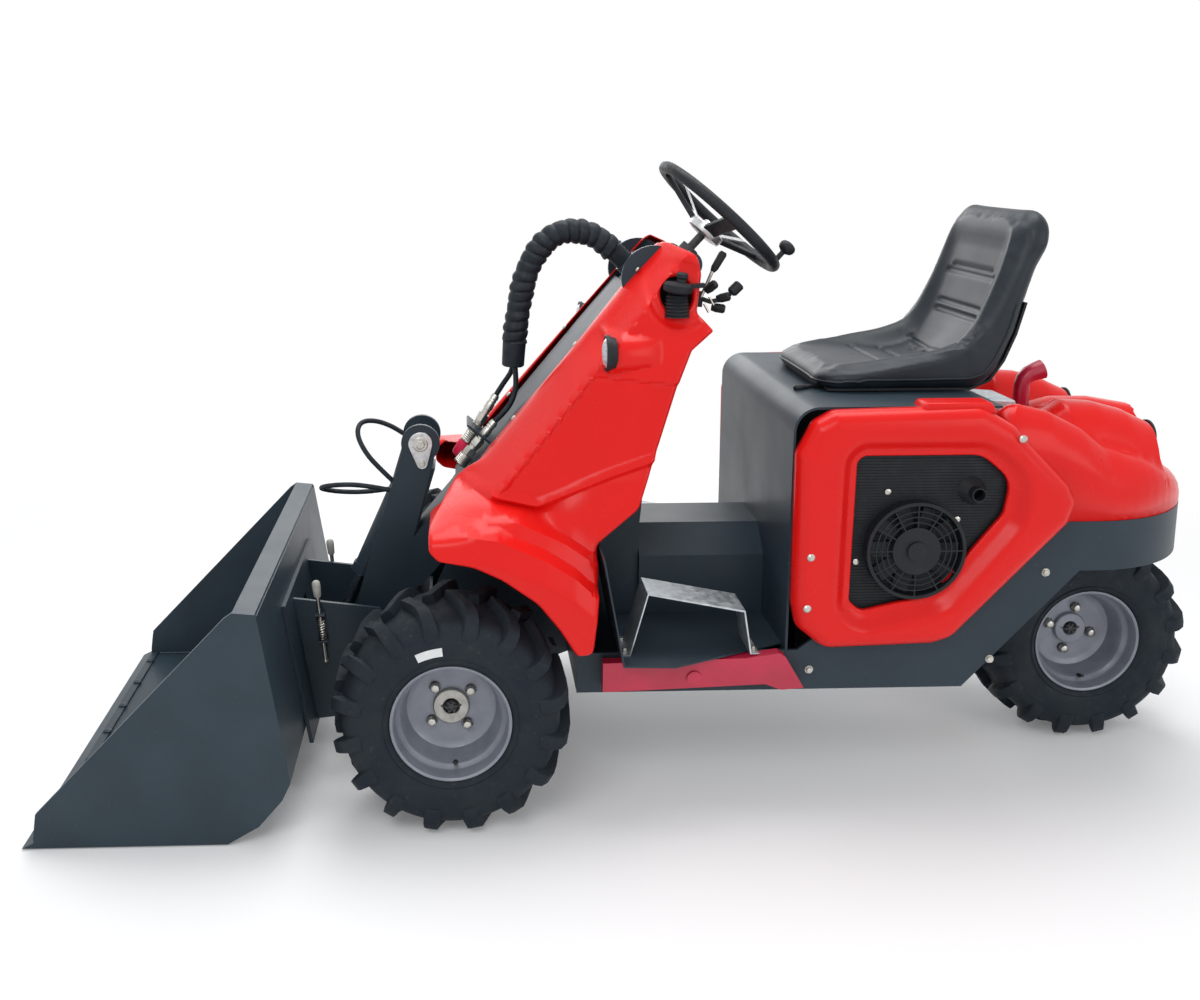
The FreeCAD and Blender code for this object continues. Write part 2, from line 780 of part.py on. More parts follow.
fairing_outline = [(-530, 1349), (-591, 1327), (-605, 1280), (-628, 1151), (-577, 1103), (-484, 857)]
fairing_outline += [(-446, 737), (-341, 658), (-344, 593), (-322, 435), (-290, 435), (-282, 455)]
fairing_outline += [(-232, 524), (-162, 585), (-94, 633), (2, 655), (45, 674), (48, 727), (8, 776)]
fairing_section = [(235, 1400), (262, 1270), (292, 1130), (318, 990), (340, 890), (378, 815)]
fairing_section += [(436, 748), (492, 690), (515, 610), (518, 520), (518, 430)]
headlamp_at = (-377, 1102)
joystick_at = (-548, 1190)
lamp_radius = 20.0


def section_prism(wall):
    line = [(y - wall, z) for y, z in fairing_section]
    face = spline_face(line, [(cheek_outer, line[-1][1]), (cheek_outer, line[0][1])], -700)
    return face.extrude(V(800, 0, 0))


def headlamp():
    x, z = headlamp_at
    return round_y(lamp_radius, x, z, 270, 312)


def joystick_hole():
    x, z = joystick_at
    low = round_y(48, x, z + 26, joystick_side - 40, joystick_side + 60)
    high = round_y(46, x - 8, z + 85, joystick_side - 60, joystick_side + 60)
    return low.fuse(high)


def fairing(pocket):
    outline = fairing_outline + [boom_point(50, cover_top + 6)]
    across = fairing_half - cheek_outer
    face = rounded_outline(outline, cheek_outer, fairing_corner)
    outer = face.extrude(V(0, across, 0)).common(section_prism(0))
    smaller = face.makeOffset2D(-fairing_wall)
    smaller.translate(V(0, fairing_wall, 0))
    inner = smaller.extrude(V(0, across, 0)).common(section_prism(fairing_wall))
    rim = face.makeOffset2D(-fairing_flange)
    rim.translate(V(0, -1, 0))
    mouth = rim.extrude(V(0, fairing_wall + 2, 0))
    shell = outer.cut(inner).cut(mouth).cut(headlamp())
    return shell.cut(joystick_hole()) if pocket else shell


save("fairing_left", fairing(True))
save("fairing_right", other_side(fairing(False)))

# ----------------------------------------------------------------------- rear hood

hood_reach = frame_half_width + 20
hood_front = box_rear - 10
hood_rear = tail_x - 15
hood_outline = [(hood_front, 985), (tail_x + 395, 955), (tail_x + 325, 972), (tail_x + 225, 925)]
hood_outline += [(tail_x + 125, 870), (tail_x + 35, 790), (hood_rear, belt_top), (hood_front, belt_top)]
hood_mouth = [(box_rear, 940), (box_rear, belt_top - 12), (tail_x + 25, belt_top - 12)]
hood_mouth.append((tail_x + 25, belt_top + 18))
hood_half_section = [(0, 925), (110, 936), (200, 985), (frame_half_width - 105, 1010)]
hood_half_section += [(frame_half_width - 40, 985), (frame_half_width, 925), (frame_half_width + 16, 830)]
crest_start = box_rear + 10
crest_fall = 90.0            # the crests run down to the rear
tail_lamp_at = (tail_x + 185, 830)


def tail_lamp():
    x, z = tail_lamp_at
    return round_y(lamp_radius, x, z, 250, frame_half_width + 4)


def hood_ridges(wall):
    """Two crests with a valley between them, running down to the rear."""
    right = [(wall - y, z - wall) for y, z in reversed(hood_half_section[1:])]
    left = [(y - wall, z - wall) for y, z in hood_half_section[1:]]
    middle = [(0, hood_half_section[0][1] - wall)]
    half = left[-1][0]
    face = spline_face(right + middle + left, [(half, 500), (-half, 500)], crest_start)
    return face.extrude(V(hood_rear - crest_start, 0, -crest_fall))


def rear_hood():
    outer = side_prism(hood_outline, -hood_reach, hood_reach)
    outer = outer.common(plan_solid(hood_inset, box_rear, belt_top, 1000)).common(hood_ridges(0))
    mouth = side_prism(hood_mouth, -hood_reach, hood_reach)
    inner = inset_prism(hood_outline, hood_wall, -hood_reach, hood_reach).fuse(mouth)
    inner = inner.common(plan_solid(hood_wall + hood_inset, crest_start, belt_top - 20, 990))
    inner = inner.common(hood_ridges(hood_wall))
    return outer.cut(inner).cut(tail_lamp()).cut(other_side(tail_lamp()))


def lamps():
    front = headlamp()
    rear = tail_lamp().common(plan_solid(hood_inset - 2, box_rear, belt_top, 1000))
    return Part.makeCompound([front, other_side(front), rear, other_side(rear)])


save("rear_hood", rear_hood())
save("lamps", lamps())


def exhaust_pipe():
    low = V(box_rear - 157, exhaust_y, 905)
    high = V(box_rear - 202, exhaust_y, 1040)
    pipe = rod_between(exhaust_radius, low, high)
    bore = rod_between(exhaust_radius - exhaust_wall, low, high)
    front = box_rear - 110
    rear = box_rear - 270
    mouth = side_prism([(front, 1000), (rear, 1050), (rear, 1100), (front, 1100)], 0, 2 * exhaust_y)
    return pipe.cut(bore).cut(mouth).cut(hood_ridges(-contact_gap))


save("exhaust_pipe", exhaust_pipe())

# ---------------------------------------------------------------------------- seat


seat_low = seat_base + seat_pan_sheet + contact_gap
seat_under = [(-925, seat_low), (-1285, seat_low), (-1330, 1014), (-1362, 1062), (-1388, 1128)]
seat_under += [(-1408, 1205), (-1432, 1292), (-1452, 1365), (-1457, 1402)]
seat_over = [(-1445, 1428), (-1424, 1434), (-1399, 1408), (-1383, 1345), (-1358, 1270), (-1331, 1200)]
seat_over += [(-1300, 1140), (-1262, 1100), (-1200, 1076), (-1120, 1062), (-1040, 1047), (-935, 1036)]
seat_over.append((-905, 1012))


def seat_pan():
    """Sheet under the cushion and up its back, on a slider."""
    half = seat_half - 25
    face = side_face(seat_under + seat_over, -half)
    sheet = face.makeOffset2D(contact_gap + seat_pan_sheet).cut(face.makeOffset2D(contact_gap))
    inner = [(-930, seat_low + 12), (-1270, seat_low + 12), (-1340, 1070), (-1380, seat_pan_top)]
    part = [(-930, box_top - 10), *inner, (-1500, seat_pan_top), (-1500, box_top - 10)]
    shell = sheet.extrude(V(0, 2 * half, 0)).common(side_prism(part, -half, half))
    slider = block(-1230, -930, -seat_slider_half, seat_slider_half, box_top, seat_base)
    return fuse([shell, slider])


def seat_cushion():
    solid = side_prism(seat_under + seat_over, -seat_half, seat_half)
    rims = [e for e in solid.Edges if abs(e.CenterOfMass.y) > seat_half - 1]
    upper = [e for e in rims if e.CenterOfMass.z > seat_low + 20 and e.CenterOfMass.x > -1395]
    return solid.makeFillet(seat_round, upper)


save("seat_pan", seat_pan())
save("seat_cushion", seat_cushion())

# ---------------------------------------------------------------- boom and linkage

arm_rear_low = (137.0, 431.0)
arm_front_low = (241.0, 432.0)
arm_rear_high = (arm_pin_x - 37, arm_pin_z - 30)
arm_foot_rear = (coupler_pin_x - coupler_boss_radius, coupler_pin_z)


def arm_side():
    y0 = boom_half_width - arm_plate
    foot_front = (coupler_pin_x + coupler_boss_radius, coupler_pin_z)
    outline = [(arm_pin_x + 37, arm_pin_z + 19), (126, 809), arm_front_low, foot_front]
    outline += [arm_foot_rear, arm_rear_low, arm_rear_high]
    head = round_y(arm_top_radius, arm_pin_x, arm_pin_z, y0, boom_half_width)
    foot = round_y(coupler_boss_radius, coupler_pin_x, coupler_pin_z, y0, boom_half_width)
    return fuse([side_prism(outline, y0, boom_half_width), head, foot])


def arm_rear_web():
    high_x = arm_rear_high[0] + 12
    high_z = arm_rear_high[1] - 40
    low_x, low_z = arm_rear_low
    foot_x, foot_z = arm_foot_rear
    outline = [(high_x - 12, high_z), arm_rear_low, (foot_x, foot_z + 20), (foot_x + 12, foot_z + 20)]
    outline += [(low_x + 12, low_z), (high_x, high_z)]
    return side_prism(outline, arm_plate - boom_half_width, boom_half_width - arm_plate)


def boom_box():
    high = boom_point(925, boom_above)
    low = boom_point(1000, -boom_below)
    foot_x, foot_z = arm_rear_low
    outline = [boom_point(0, boom_above), high, (foot_x + 6, foot_z), low, boom_point(0, -boom_below)]
    solid = side_prism(outline, -boom_half_width, boom_half_width)
    t = boom_skin
    hollow = [boom_point(60, boom_above - t), boom_point(840, boom_above - t)]
    hollow += [boom_point(960, t - boom_below), boom_point(60, t - boom_below)]
    return solid.cut(side_prism(hollow, t - boom_half_width, boom_half_width - t))


def lift_eye_ear():
    x, z = lift_eye
    y0 = eye_half_width + ear_gap
    head = round_y(ear_radius, x, z, y0, y0 + ear_plate)
    plate = [(x - ear_radius, z), boom_point(lift_eye_along - 60, 2 - boom_below)]
    plate.append(boom_point(lift_eye_along + 60, 2 - boom_below))
    plate.append(boom_point(lift_eye_along + 30, -lift_eye_drop))
    boss = round_y(cylinder_pin_radius + 6, x, z, y0 + ear_plate, y0 + ear_plate + 6)
    return fuse([head, side_prism(plate, y0, y0 + ear_plate), boss])


def hose_socket():
    mouth = V(*bundle_route[0])
    along = unit(V(*bundle_route[1]) - mouth)
    return rod_between(bundle_radius + 4, mouth - along * 35, mouth)


def loop_port(route, turn):
    end = V(*route[turn])
    beyond = V(*route[turn + 1 if turn == 0 else turn - 1])
    return rod_between(port_radius, end + unit(end - beyond) * port_length, end)


bundle_route = [(-450, 0, 1292), (-412, 0, 1328), (-355, 0, 1369), (-266, 0, 1369), (-198, 0, 1281)]
bundle_route += [(-174, 0, 1153), (-166, 0, 1080), (-163, 0, 1018)]
feed_high_route = [(-163, -8, 1018), (-160, -11, 1003), (-152, -15, 988), (-141, -18, 972)]
feed_high_route += [(-131, -20, 956), (-120, -20, 938)]
feed_low_route = [(-168, 10, 1018), (-171, 13, 985), (-168, 18, 950), (-155, 23, 920)]
feed_low_route += [(-136, 27, 897), (-115, 28, 877)]
loop_high_route = [(98, -loop_side, 808), (135, -43, 838), (190, -38, 866), (236, -14, 872)]
loop_high_route += [(246, 22, 846), (222, 42, 800), (186, 43, 758), (150, loop_side, 722)]
loop_low_route = [(150, loop_side, 697), (200, 44, 708), (255, 45, 716), (310, 36, 712), (345, 8, 698)]
loop_low_route += [(340, -28, 682), (300, -46, 670), (245, -47, 668), (195, -44, 673)]
loop_low_route.append((150, -loop_side, 680))


def boom_beam():
    reach = cheek_inner - boom_side_gap
    boss = round_y(boom_boss_radius, boom_pivot_x, boom_pivot_z, -reach, reach)
    tube = round_y(coupler_boss_radius, coupler_pin_x, coupler_pin_z, -boom_half_width, boom_half_width)
    arm = arm_side()
    ear = lift_eye_ear()
    pieces = [boom_box(), boss, arm, other_side(arm), arm_rear_web(), tube]
    pieces += [ear, other_side(ear), hose_socket()]
    for route in (loop_high_route, loop_low_route):
        pieces += [loop_port(route, 0), loop_port(route, -1)]
    beam = fuse(pieces)
    pivot_bore = round_y(boom_pin_radius + bearing_gap, boom_pivot_x, boom_pivot_z, -reach, reach)
    foot_bore = round_y(coupler_pin_radius, coupler_pin_x, coupler_pin_z, -100, 100)
    head_bore = round_y(cylinder_pin_radius, arm_pin_x, arm_pin_z, -100, 100)
    return beam.cut(pivot_bore).cut(foot_bore).cut(head_bore)


def along_boom(start, end, low, high):
    return [boom_point(start, low), boom_point(end, low), boom_point(end, high), boom_point(start, high)]


def boom_cover():
    top = along_boom(boom_cover_start, boom_cover_end, boom_above, cover_top)
    lip = along_boom(boom_cover_start, boom_cover_end, boom_above - boom_cover_lip, boom_above)
    flange = side_prism(lip, boom_cover_half - boom_cover_plate, boom_cover_half)
    return fuse([side_prism(top, -boom_cover_half, boom_cover_half), flange, other_side(flange)])


def linkage_pins():
    half = boom_half_width + 6
    upper = round_y(cylinder_pin_radius, arm_pin_x, arm_pin_z, -half, half)
    reach = coupler_plate_inner + coupler_plate + 6
    lower = round_y(coupler_pin_radius, coupler_pin_x, coupler_pin_z, -reach, reach)
    return Part.makeCompound([upper, lower])


save("boom_beam", boom_beam())
save("boom_cover", boom_cover())
save("linkage_pins", linkage_pins())


def cylinder_parts(base, eye, barrel_radius, barrel_length):
    base_at = V(base[0], 0, base[1])
    eye_at = V(eye[0], 0, eye[1])
    along = unit(eye_at - base_at)
    end = base_at + along * barrel_length
    tube = rod_between(barrel_radius, base_at + along * barrel_start, end)
    neck_end = base_at + along * (barrel_start + 2)
    neck = rod_between(eye_half_width - 1, base_at + along * (eye_radius - 8), neck_end)
    gland = rod_between(barrel_radius + gland_step, end - along * gland_length, end)
    base_eye = round_y(eye_radius, base[0], base[1], -eye_half_width, eye_half_width)
    bore = rod_between(cylinder_rod_radius + bearing_gap, base_at + along * bore_start, end + along)
    hole_radius = cylinder_pin_radius + bearing_gap
    pin_hole = round_y(hole_radius, base[0], base[1], -eye_half_width, eye_half_width)
    barrel = fuse([tube, neck, gland, base_eye]).cut(bore).cut(pin_hole)
    rod = rod_between(cylinder_rod_radius, base_at + along * rod_start, eye_at - along * (eye_radius - 4))
    rod_eye = round_y(eye_radius, eye[0], eye[1], -eye_half_width, eye_half_width)
    eye_hole = round_y(cylinder_pin_radius + 1, eye[0], eye[1], -eye_half_width, eye_half_width)
    return barrel, fuse([rod, rod_eye]).cut(eye_hole)


lift_base = (lift_base_x, lift_base_z)
tilt_base = (arm_pin_x, arm_pin_z)
tilt_eye = (tilt_eye_x, tilt_eye_z)
lift_barrel, lift_rod = cylinder_parts(lift_base, lift_eye, lift_barrel_radius, lift_barrel_length)
tilt_barrel, tilt_rod = cylinder_parts(tilt_base, tilt_eye, tilt_barrel_radius, tilt_barrel_length)
save("lift_barrel", lift_barrel)
save("lift_rod", lift_rod)
save("tilt_barrel", tilt_barrel)
save("tilt_rod", tilt_rod)

# ------------------------------------------------------ hydraulic lines on the boom

couplings = [(V(*feed_high_route[-1]), V(.523, 0, -.852), 195)]
couplings.append((V(*feed_low_route[-1]), V(boom_dir[0], 0, boom_dir[1]), 150))
coupling_collars = [(18, 40, 16), (60, 95, 17), (100, 112, 19)]  # start, end, radius


def quick_coupling(start, along, length):
    pieces = [rod_between(coupling_body_radius, start, start + along * (length - 20))]
    for low, high, radius in coupling_collars:
        pieces.append(rod_between(radius, start + along * low, start + along * high))
    pieces.append(rod_between(coupling_radius, start + along * (length - 55), start + along * length))
    return fuse(pieces)


def coupling_bracket():
    return side_prism(along_boom(590, 596, cover_top, 112), -52, 60)


def hydraulic_couplers():
    bodies = [quick_coupling(start, unit(along), length) for start, along, length in couplings]
    return fuse([coupling_bracket()] + bodies)


save("hydraulic_couplers", hydraulic_couplers())
hose("hose_bundle", bundle_route, bundle_radius)
hose("feed_hose_high", feed_high_route, hose_radius)
hose("feed_hose_low", feed_low_route, hose_radius)
hose("tilt_hose_high", loop_high_route, loop_radius)
hose("tilt_hose_low", loop_low_route, loop_radius)

# -------------------------------------------------------------- coupler and bucket

back_low = (372.0, 200.0)
back_high = (430.0, 550.0)


def back_x(z):
    (x0, z0), (x1, z1) = back_low, back_high
    return x0 + (x1 - x0) * (z - z0) / (z1 - z0)


def face_strip(z0, z1, near, far):
    """Outline of a plate along the bucket's back, between two distances behind it."""
    return [(back_x(z0) - near, z0), (back_x(z1) - near, z1), (back_x(z1) - far, z1), (back_x(z0) - far, z0)]


def coupler_frame():
    near = contact_gap
    far = near + coupler_plate
    face = side_prism(face_strip(110, 470, near, far), -coupler_face_half, coupler_face_half)
    face = face.cut(side_prism(face_strip(260, 400, near - 5, far + 5), -100, 100))
    side = [(back_x(447) - far + 1, 447), (183, 418), (175, 300), (coupler_pin_x - 40, coupler_pin_z - 30)]
    side += [(back_x(120) - far + 1, 120)]
    plate = side_prism(side, coupler_plate_inner, coupler_plate_inner + coupler_plate)
    y0 = eye_half_width + ear_gap
    ear = [(back_x(250) - near - 2, 250), (tilt_eye_x - 20, 268), (tilt_eye_x - 26, 305)]
    ear += [(tilt_eye_x - 5, 328), (back_x(350) - near - 2, 350)]
    rib = side_prism(face_strip(240, 420, near, far), y0, 110)
    lug = fuse([side_prism(ear, y0, y0 + ear_plate), rib])
    bore = round_y(coupler_pin_radius + bearing_gap, coupler_pin_x, coupler_pin_z, -200, 200)
    return fuse([face, plate, other_side(plate), lug, other_side(lug)]).cut(bore)


def lock_lever():
    y0 = coupler_plate_inner + coupler_plate
    y = y0 + lock_lever_gap
    low = V(323, y, 284)
    high = V(343, y, 492)
    along = unit(high - low)
    pieces = [rod_between(lever_rod_radius, low, high)]
    for start, end in ((60, 120), ((high - low).Length - 35, (high - low).Length)):
        pieces.append(rod_between(lever_grip_radius, low + along * start, low + along * end))
    for part_way in (55, 125):
        at = low + along * part_way
        pieces.append(block(at.x - 12, at.x + 12, y0, y + 10, at.z - 3, at.z + 3))
    return fuse(pieces)


def bucket_side_outline():
    outline = [(943, 87), (951, 30), (951, bucket_ground), (512, bucket_ground), (440, 46), (385, 110)]
    return outline + [(366, 150), back_low, back_high, (434, 556), (484, 561), (502, 548)]


def bucket():
    inner = bucket_half_width - bucket_side
    side = side_prism(bucket_side_outline(), inner, bucket_half_width)
    z0 = bucket_ground
    t = bucket_skin
    skin = [(930, z0), (512, z0), (440, 46), (385, 110), (366, 150), back_low, back_high]
    skin += [(back_x(550) + t, 550), (back_x(205) + t, 205), (375, 153), (392, 115), (446, 53), (515, z0 + t)]
    skin += [(930, z0 + t)]
    beam = side_prism([(430, 530), (434, 556), (484, 561), (484, 535)], -inner, inner)
    return fuse([side, other_side(side), side_prism(skin, -inner, inner), beam])


def cutting_edge():
    z0 = bucket_ground
    x0 = nose_overhang - edge_depth
    wedge = [(nose_overhang, z0), (x0, z0), (x0, z0 + edge_thickness), (x0 + 20, z0 + edge_thickness)]
    return side_prism(wedge, -bucket_half_width, bucket_half_width)


edge = cutting_edge()
save("coupler_frame", coupler_frame())
save("lock_levers", both_sides(lock_lever()))
save("bucket", bucket().cut(edge))
save("cutting_edge", edge)

# ---------------------------------------------------------------- steering, controls


def around_wheel(turn):
    """Direction across the steering wheel, turned in degrees from straight ahead."""
    angle = math.radians(turn)
    return wheel_across * math.cos(angle) + V(0, math.sin(angle), 0)


def steering_wheel():
    ring = Part.makeTorus(steering_radius, steering_tube, wheel_centre, wheel_axis)
    hub_centre = wheel_centre - wheel_axis * hub_drop
    hub_top = hub_centre + wheel_axis * (steering_hub / 2)
    pieces = [ring, Part.makeCylinder(steering_hub_radius, steering_hub, hub_centre, wheel_axis)]
    for turn in (90, 210, 330):
        out = around_wheel(turn)
        pieces.append(rod_between(spoke_radius, hub_top + out * 20, wheel_centre + out * steering_radius))
    knob_base = wheel_centre + around_wheel(knob_turn) * steering_radius
    knob_low = knob_base + wheel_axis * (knob_height - 32)
    pieces.append(rod_between(knob_stem_radius, knob_base, knob_low + wheel_axis * 6))
    pieces.append(rod_between(knob_radius, knob_low, knob_base + wheel_axis * knob_height))
    bore = Part.makeCylinder(column_radius + bearing_gap, 25, hub_centre - wheel_axis, wheel_axis)
    return fuse(pieces).cut(bore)


def steering_column():
    top = wheel_centre - wheel_axis * (hub_drop - 22)
    shaft = rod_between(column_radius, column_low, top)
    plate = Part.makeBox(2 * column_bracket_half, 2 * cheek_inner, column_bracket)
    corner = column_low - wheel_across * column_bracket_half - V(0, cheek_inner, 0)
    plate.Placement = FreeCAD.Placement(corner, FreeCAD.Rotation(V(0, 1, 0), -wheel_tilt))
    housing = rod_between(24, column_low, column_low + wheel_axis * 45)
    return fuse([plate, housing, shaft])


save("steering_wheel", steering_wheel())
save("steering_column", steering_column())


strut_outline = [(-358, 380), (-700, 388), (-777, 399), (-792, 389), (-838, 311), (-784, 307)]
strut_outline += [(-745, 322), (-358, 308)]


def safety_strut():
    outer = side_prism(strut_outline, strut_inner, strut_outer)
    inner = inset_prism(strut_outline, strut_sheet, strut_inner - 1, strut_outer - strut_sheet)
    washer = round_y(strut_washer_radius, strut_bolt_x, strut_bolt_z, strut_outer, strut_outer + 5)
    return fuse([outer.cut(inner), washer])


save("safety_strut", safety_strut())


def joystick():
    x, z = joystick_at
    foot = block(x - 12, x + 28, cheek_outer, joystick_side, z - 8, z)
    boot = Part.makeCone(joystick_boot, joystick_boot - 6, 60, V(x, joystick_side, z - 8), V(0, 0, 1))
    head = Part.makeCylinder(joystick_head, 26, V(x, joystick_side, z + 50), V(-0.3, 0, 1))
    knob = Part.makeSphere(joystick_knob, V(x - 14, joystick_side, z + 90))
    return fuse([foot, boot, head, knob])


def control_levers():
    y = cheek_inner - lever_side_gap
    plate = block(-700, -545, y - lever_side_gap, cheek_inner, 1200, 1216)
    bend = V(-655, y, 1275)
    lever = rod_between(lever_rod_radius, V(-640, y, 1208), bend)
    grip = rod_between(lever_grip_radius, bend, V(-685, y, 1322))
    knob = rod_between(lever_grip_radius + 4, V(-690, y, 1208), V(-718, y, 1236))
    return fuse([plate, lever, grip, knob])


save("joystick", joystick())
save("control_levers", control_levers())
print("built")
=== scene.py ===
import math

import bmesh
import bpy
import numpy as np
from mathutils import Matrix, Vector, bvhtree, geometry


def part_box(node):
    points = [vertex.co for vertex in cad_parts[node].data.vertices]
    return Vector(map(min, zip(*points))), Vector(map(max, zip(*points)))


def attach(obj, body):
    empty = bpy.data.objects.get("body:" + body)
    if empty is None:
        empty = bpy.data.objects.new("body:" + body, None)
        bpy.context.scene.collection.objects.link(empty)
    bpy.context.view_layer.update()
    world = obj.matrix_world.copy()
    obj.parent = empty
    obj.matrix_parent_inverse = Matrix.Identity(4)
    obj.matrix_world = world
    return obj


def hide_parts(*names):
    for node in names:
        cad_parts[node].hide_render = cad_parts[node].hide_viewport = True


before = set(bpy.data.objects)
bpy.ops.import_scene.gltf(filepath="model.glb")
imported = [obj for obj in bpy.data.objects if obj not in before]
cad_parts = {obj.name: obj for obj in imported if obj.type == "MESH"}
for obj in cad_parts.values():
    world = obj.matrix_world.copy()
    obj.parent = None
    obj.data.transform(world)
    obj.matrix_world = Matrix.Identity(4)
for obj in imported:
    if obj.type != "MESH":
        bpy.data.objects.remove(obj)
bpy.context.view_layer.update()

# Places are in metres: X ahead of the front axle, Y to the left, Z up from the ground.
front_axle_x = sum(corner[0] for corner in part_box("front_tyre_left")) / 2
left, upward = Vector((0, 1, 0)), Vector((0, 0, 1))
sides = (("left", 1), ("right", -1))
collection = bpy.context.scene.collection


def at(x, y, z):
    return Vector((front_axle_x + x, y, z))


# --- camera and stage


def make_camera():
    data = bpy.data.cameras.new("camera")
    data.sensor_width = 36
    data.lens = 35.28
    data.shift_x = .0792
    data.shift_y = -.1258
    camera = bpy.data.objects.new("camera", data)
    camera.location = at(-.03, 3.017, 1.567)
    camera.rotation_euler = (math.radians(80.52), 0, math.radians(177.87))
    collection.objects.link(camera)
    bpy.context.scene.camera = camera


def area_light(name, place, target, size, power):
    data = bpy.data.lights.new(name, "AREA")
    data.shape = "RECTANGLE"
    data.size, data.size_y = size
    data.energy = power
    light = bpy.data.objects.new(name, data)
    light.location = Vector(place)
    aim = Vector(target) - light.location
    light.rotation_euler = aim.to_track_quat("-Z", "Y").to_euler()
    collection.objects.link(light)


def mix_shaders(tree, factor, first, second, output):
    blend = tree.nodes.new("ShaderNodeMixShader")
    for socket, source in enumerate((factor, first, second)):
        tree.links.new(source, blend.inputs[socket])
    tree.links.new(blend.outputs[0], output.inputs["Surface"])


def pale_world():
    """White to the camera, to reflections and through glass, softer as a light."""
    world = bpy.data.worlds.new("studio")
    bpy.context.scene.world = world
    world.use_nodes = True
    tree = world.node_tree
    tree.nodes.clear()
    path = tree.nodes.new("ShaderNodeLightPath")
    seen = path.outputs["Is Camera Ray"]
    for ray in ("Is Glossy Ray", "Is Transmission Ray"):
        either = tree.nodes.new("ShaderNodeMath")
        either.operation = "MAXIMUM"
        tree.links.new(seen, either.inputs[0])
        tree.links.new(path.outputs[ray], either.inputs[1])
        seen = either.outputs[0]
    lights = []
    for colour, strength in (((.93, .96, 1.0, 1), .5), ((1, 1, 1, 1), 1.0)):
        light = tree.nodes.new("ShaderNodeBackground")
        light.inputs["Color"].default_value = colour
        light.inputs["Strength"].default_value = strength
        lights.append(light.outputs[0])
    mix_shaders(tree, seen, *lights, tree.nodes.new("ShaderNodeOutputWorld"))


def pale_floor():
    """Pale under the machine, and fading to white a few metres away."""
    data = bpy.data.meshes.new("floor")
    data.from_pydata([(-30, -30, 0), (30, -30, 0), (30, 30, 0), (-30, 30, 0)], [], [(0, 1, 2, 3)])
    floor = bpy.data.objects.new("floor", data)
    collection.objects.link(floor)
    paint = bpy.data.materials.new("floor")
    paint.use_nodes = True
    tree = paint.node_tree
    shader = tree.nodes["Principled BSDF"]
    for socket, value in (("Base Color", (.86, .86, .86, 1)), ("Roughness", .9),
                          ("Emission Color", (1, 1, 1, 1)), ("Emission Strength", .12)):
        shader.inputs[socket].default_value = value
    reach = tree.nodes.new("ShaderNodeVectorMath")
    reach.operation = "LENGTH"
    fade = tree.nodes.new("ShaderNodeMapRange")
    fade.interpolation_type = "SMOOTHSTEP"
    fade.inputs["From Min"].default_value = 1.6
    fade.inputs["From Max"].default_value = 3.6
    tree.links.new(tree.nodes.new("ShaderNodeTexCoord").outputs["Object"], reach.inputs[0])
    tree.links.new(reach.outputs["Value"], fade.inputs["Value"])
    glow = tree.nodes.new("ShaderNodeEmission")
    mix_shaders(tree, fade.outputs["Result"], shader.outputs[0], glow.outputs[0], tree.nodes["Material Output"])
    data.materials.append(paint)


def studio():
    make_camera()
    pale_world()
    pale_floor()
    area_light("key", (1.6, 3.6, 3.6), (0, 0, .6), (2.6, 1.8), 62)
    area_light("fill", (-2.8, 3.2, 2.0), (-.5, 0, .7), (2.2, 2.0), 26)
    area_light("top", (-.2, -.6, 4.2), (0, 0, .8), (3.6, 2.2), 105)
    area_light("back", (.5, -3.6, 2.4), (0, 0, .8), (3.0, 1.6), 40)
    bpy.context.scene.view_settings.view_transform = "Standard"


# --- materials


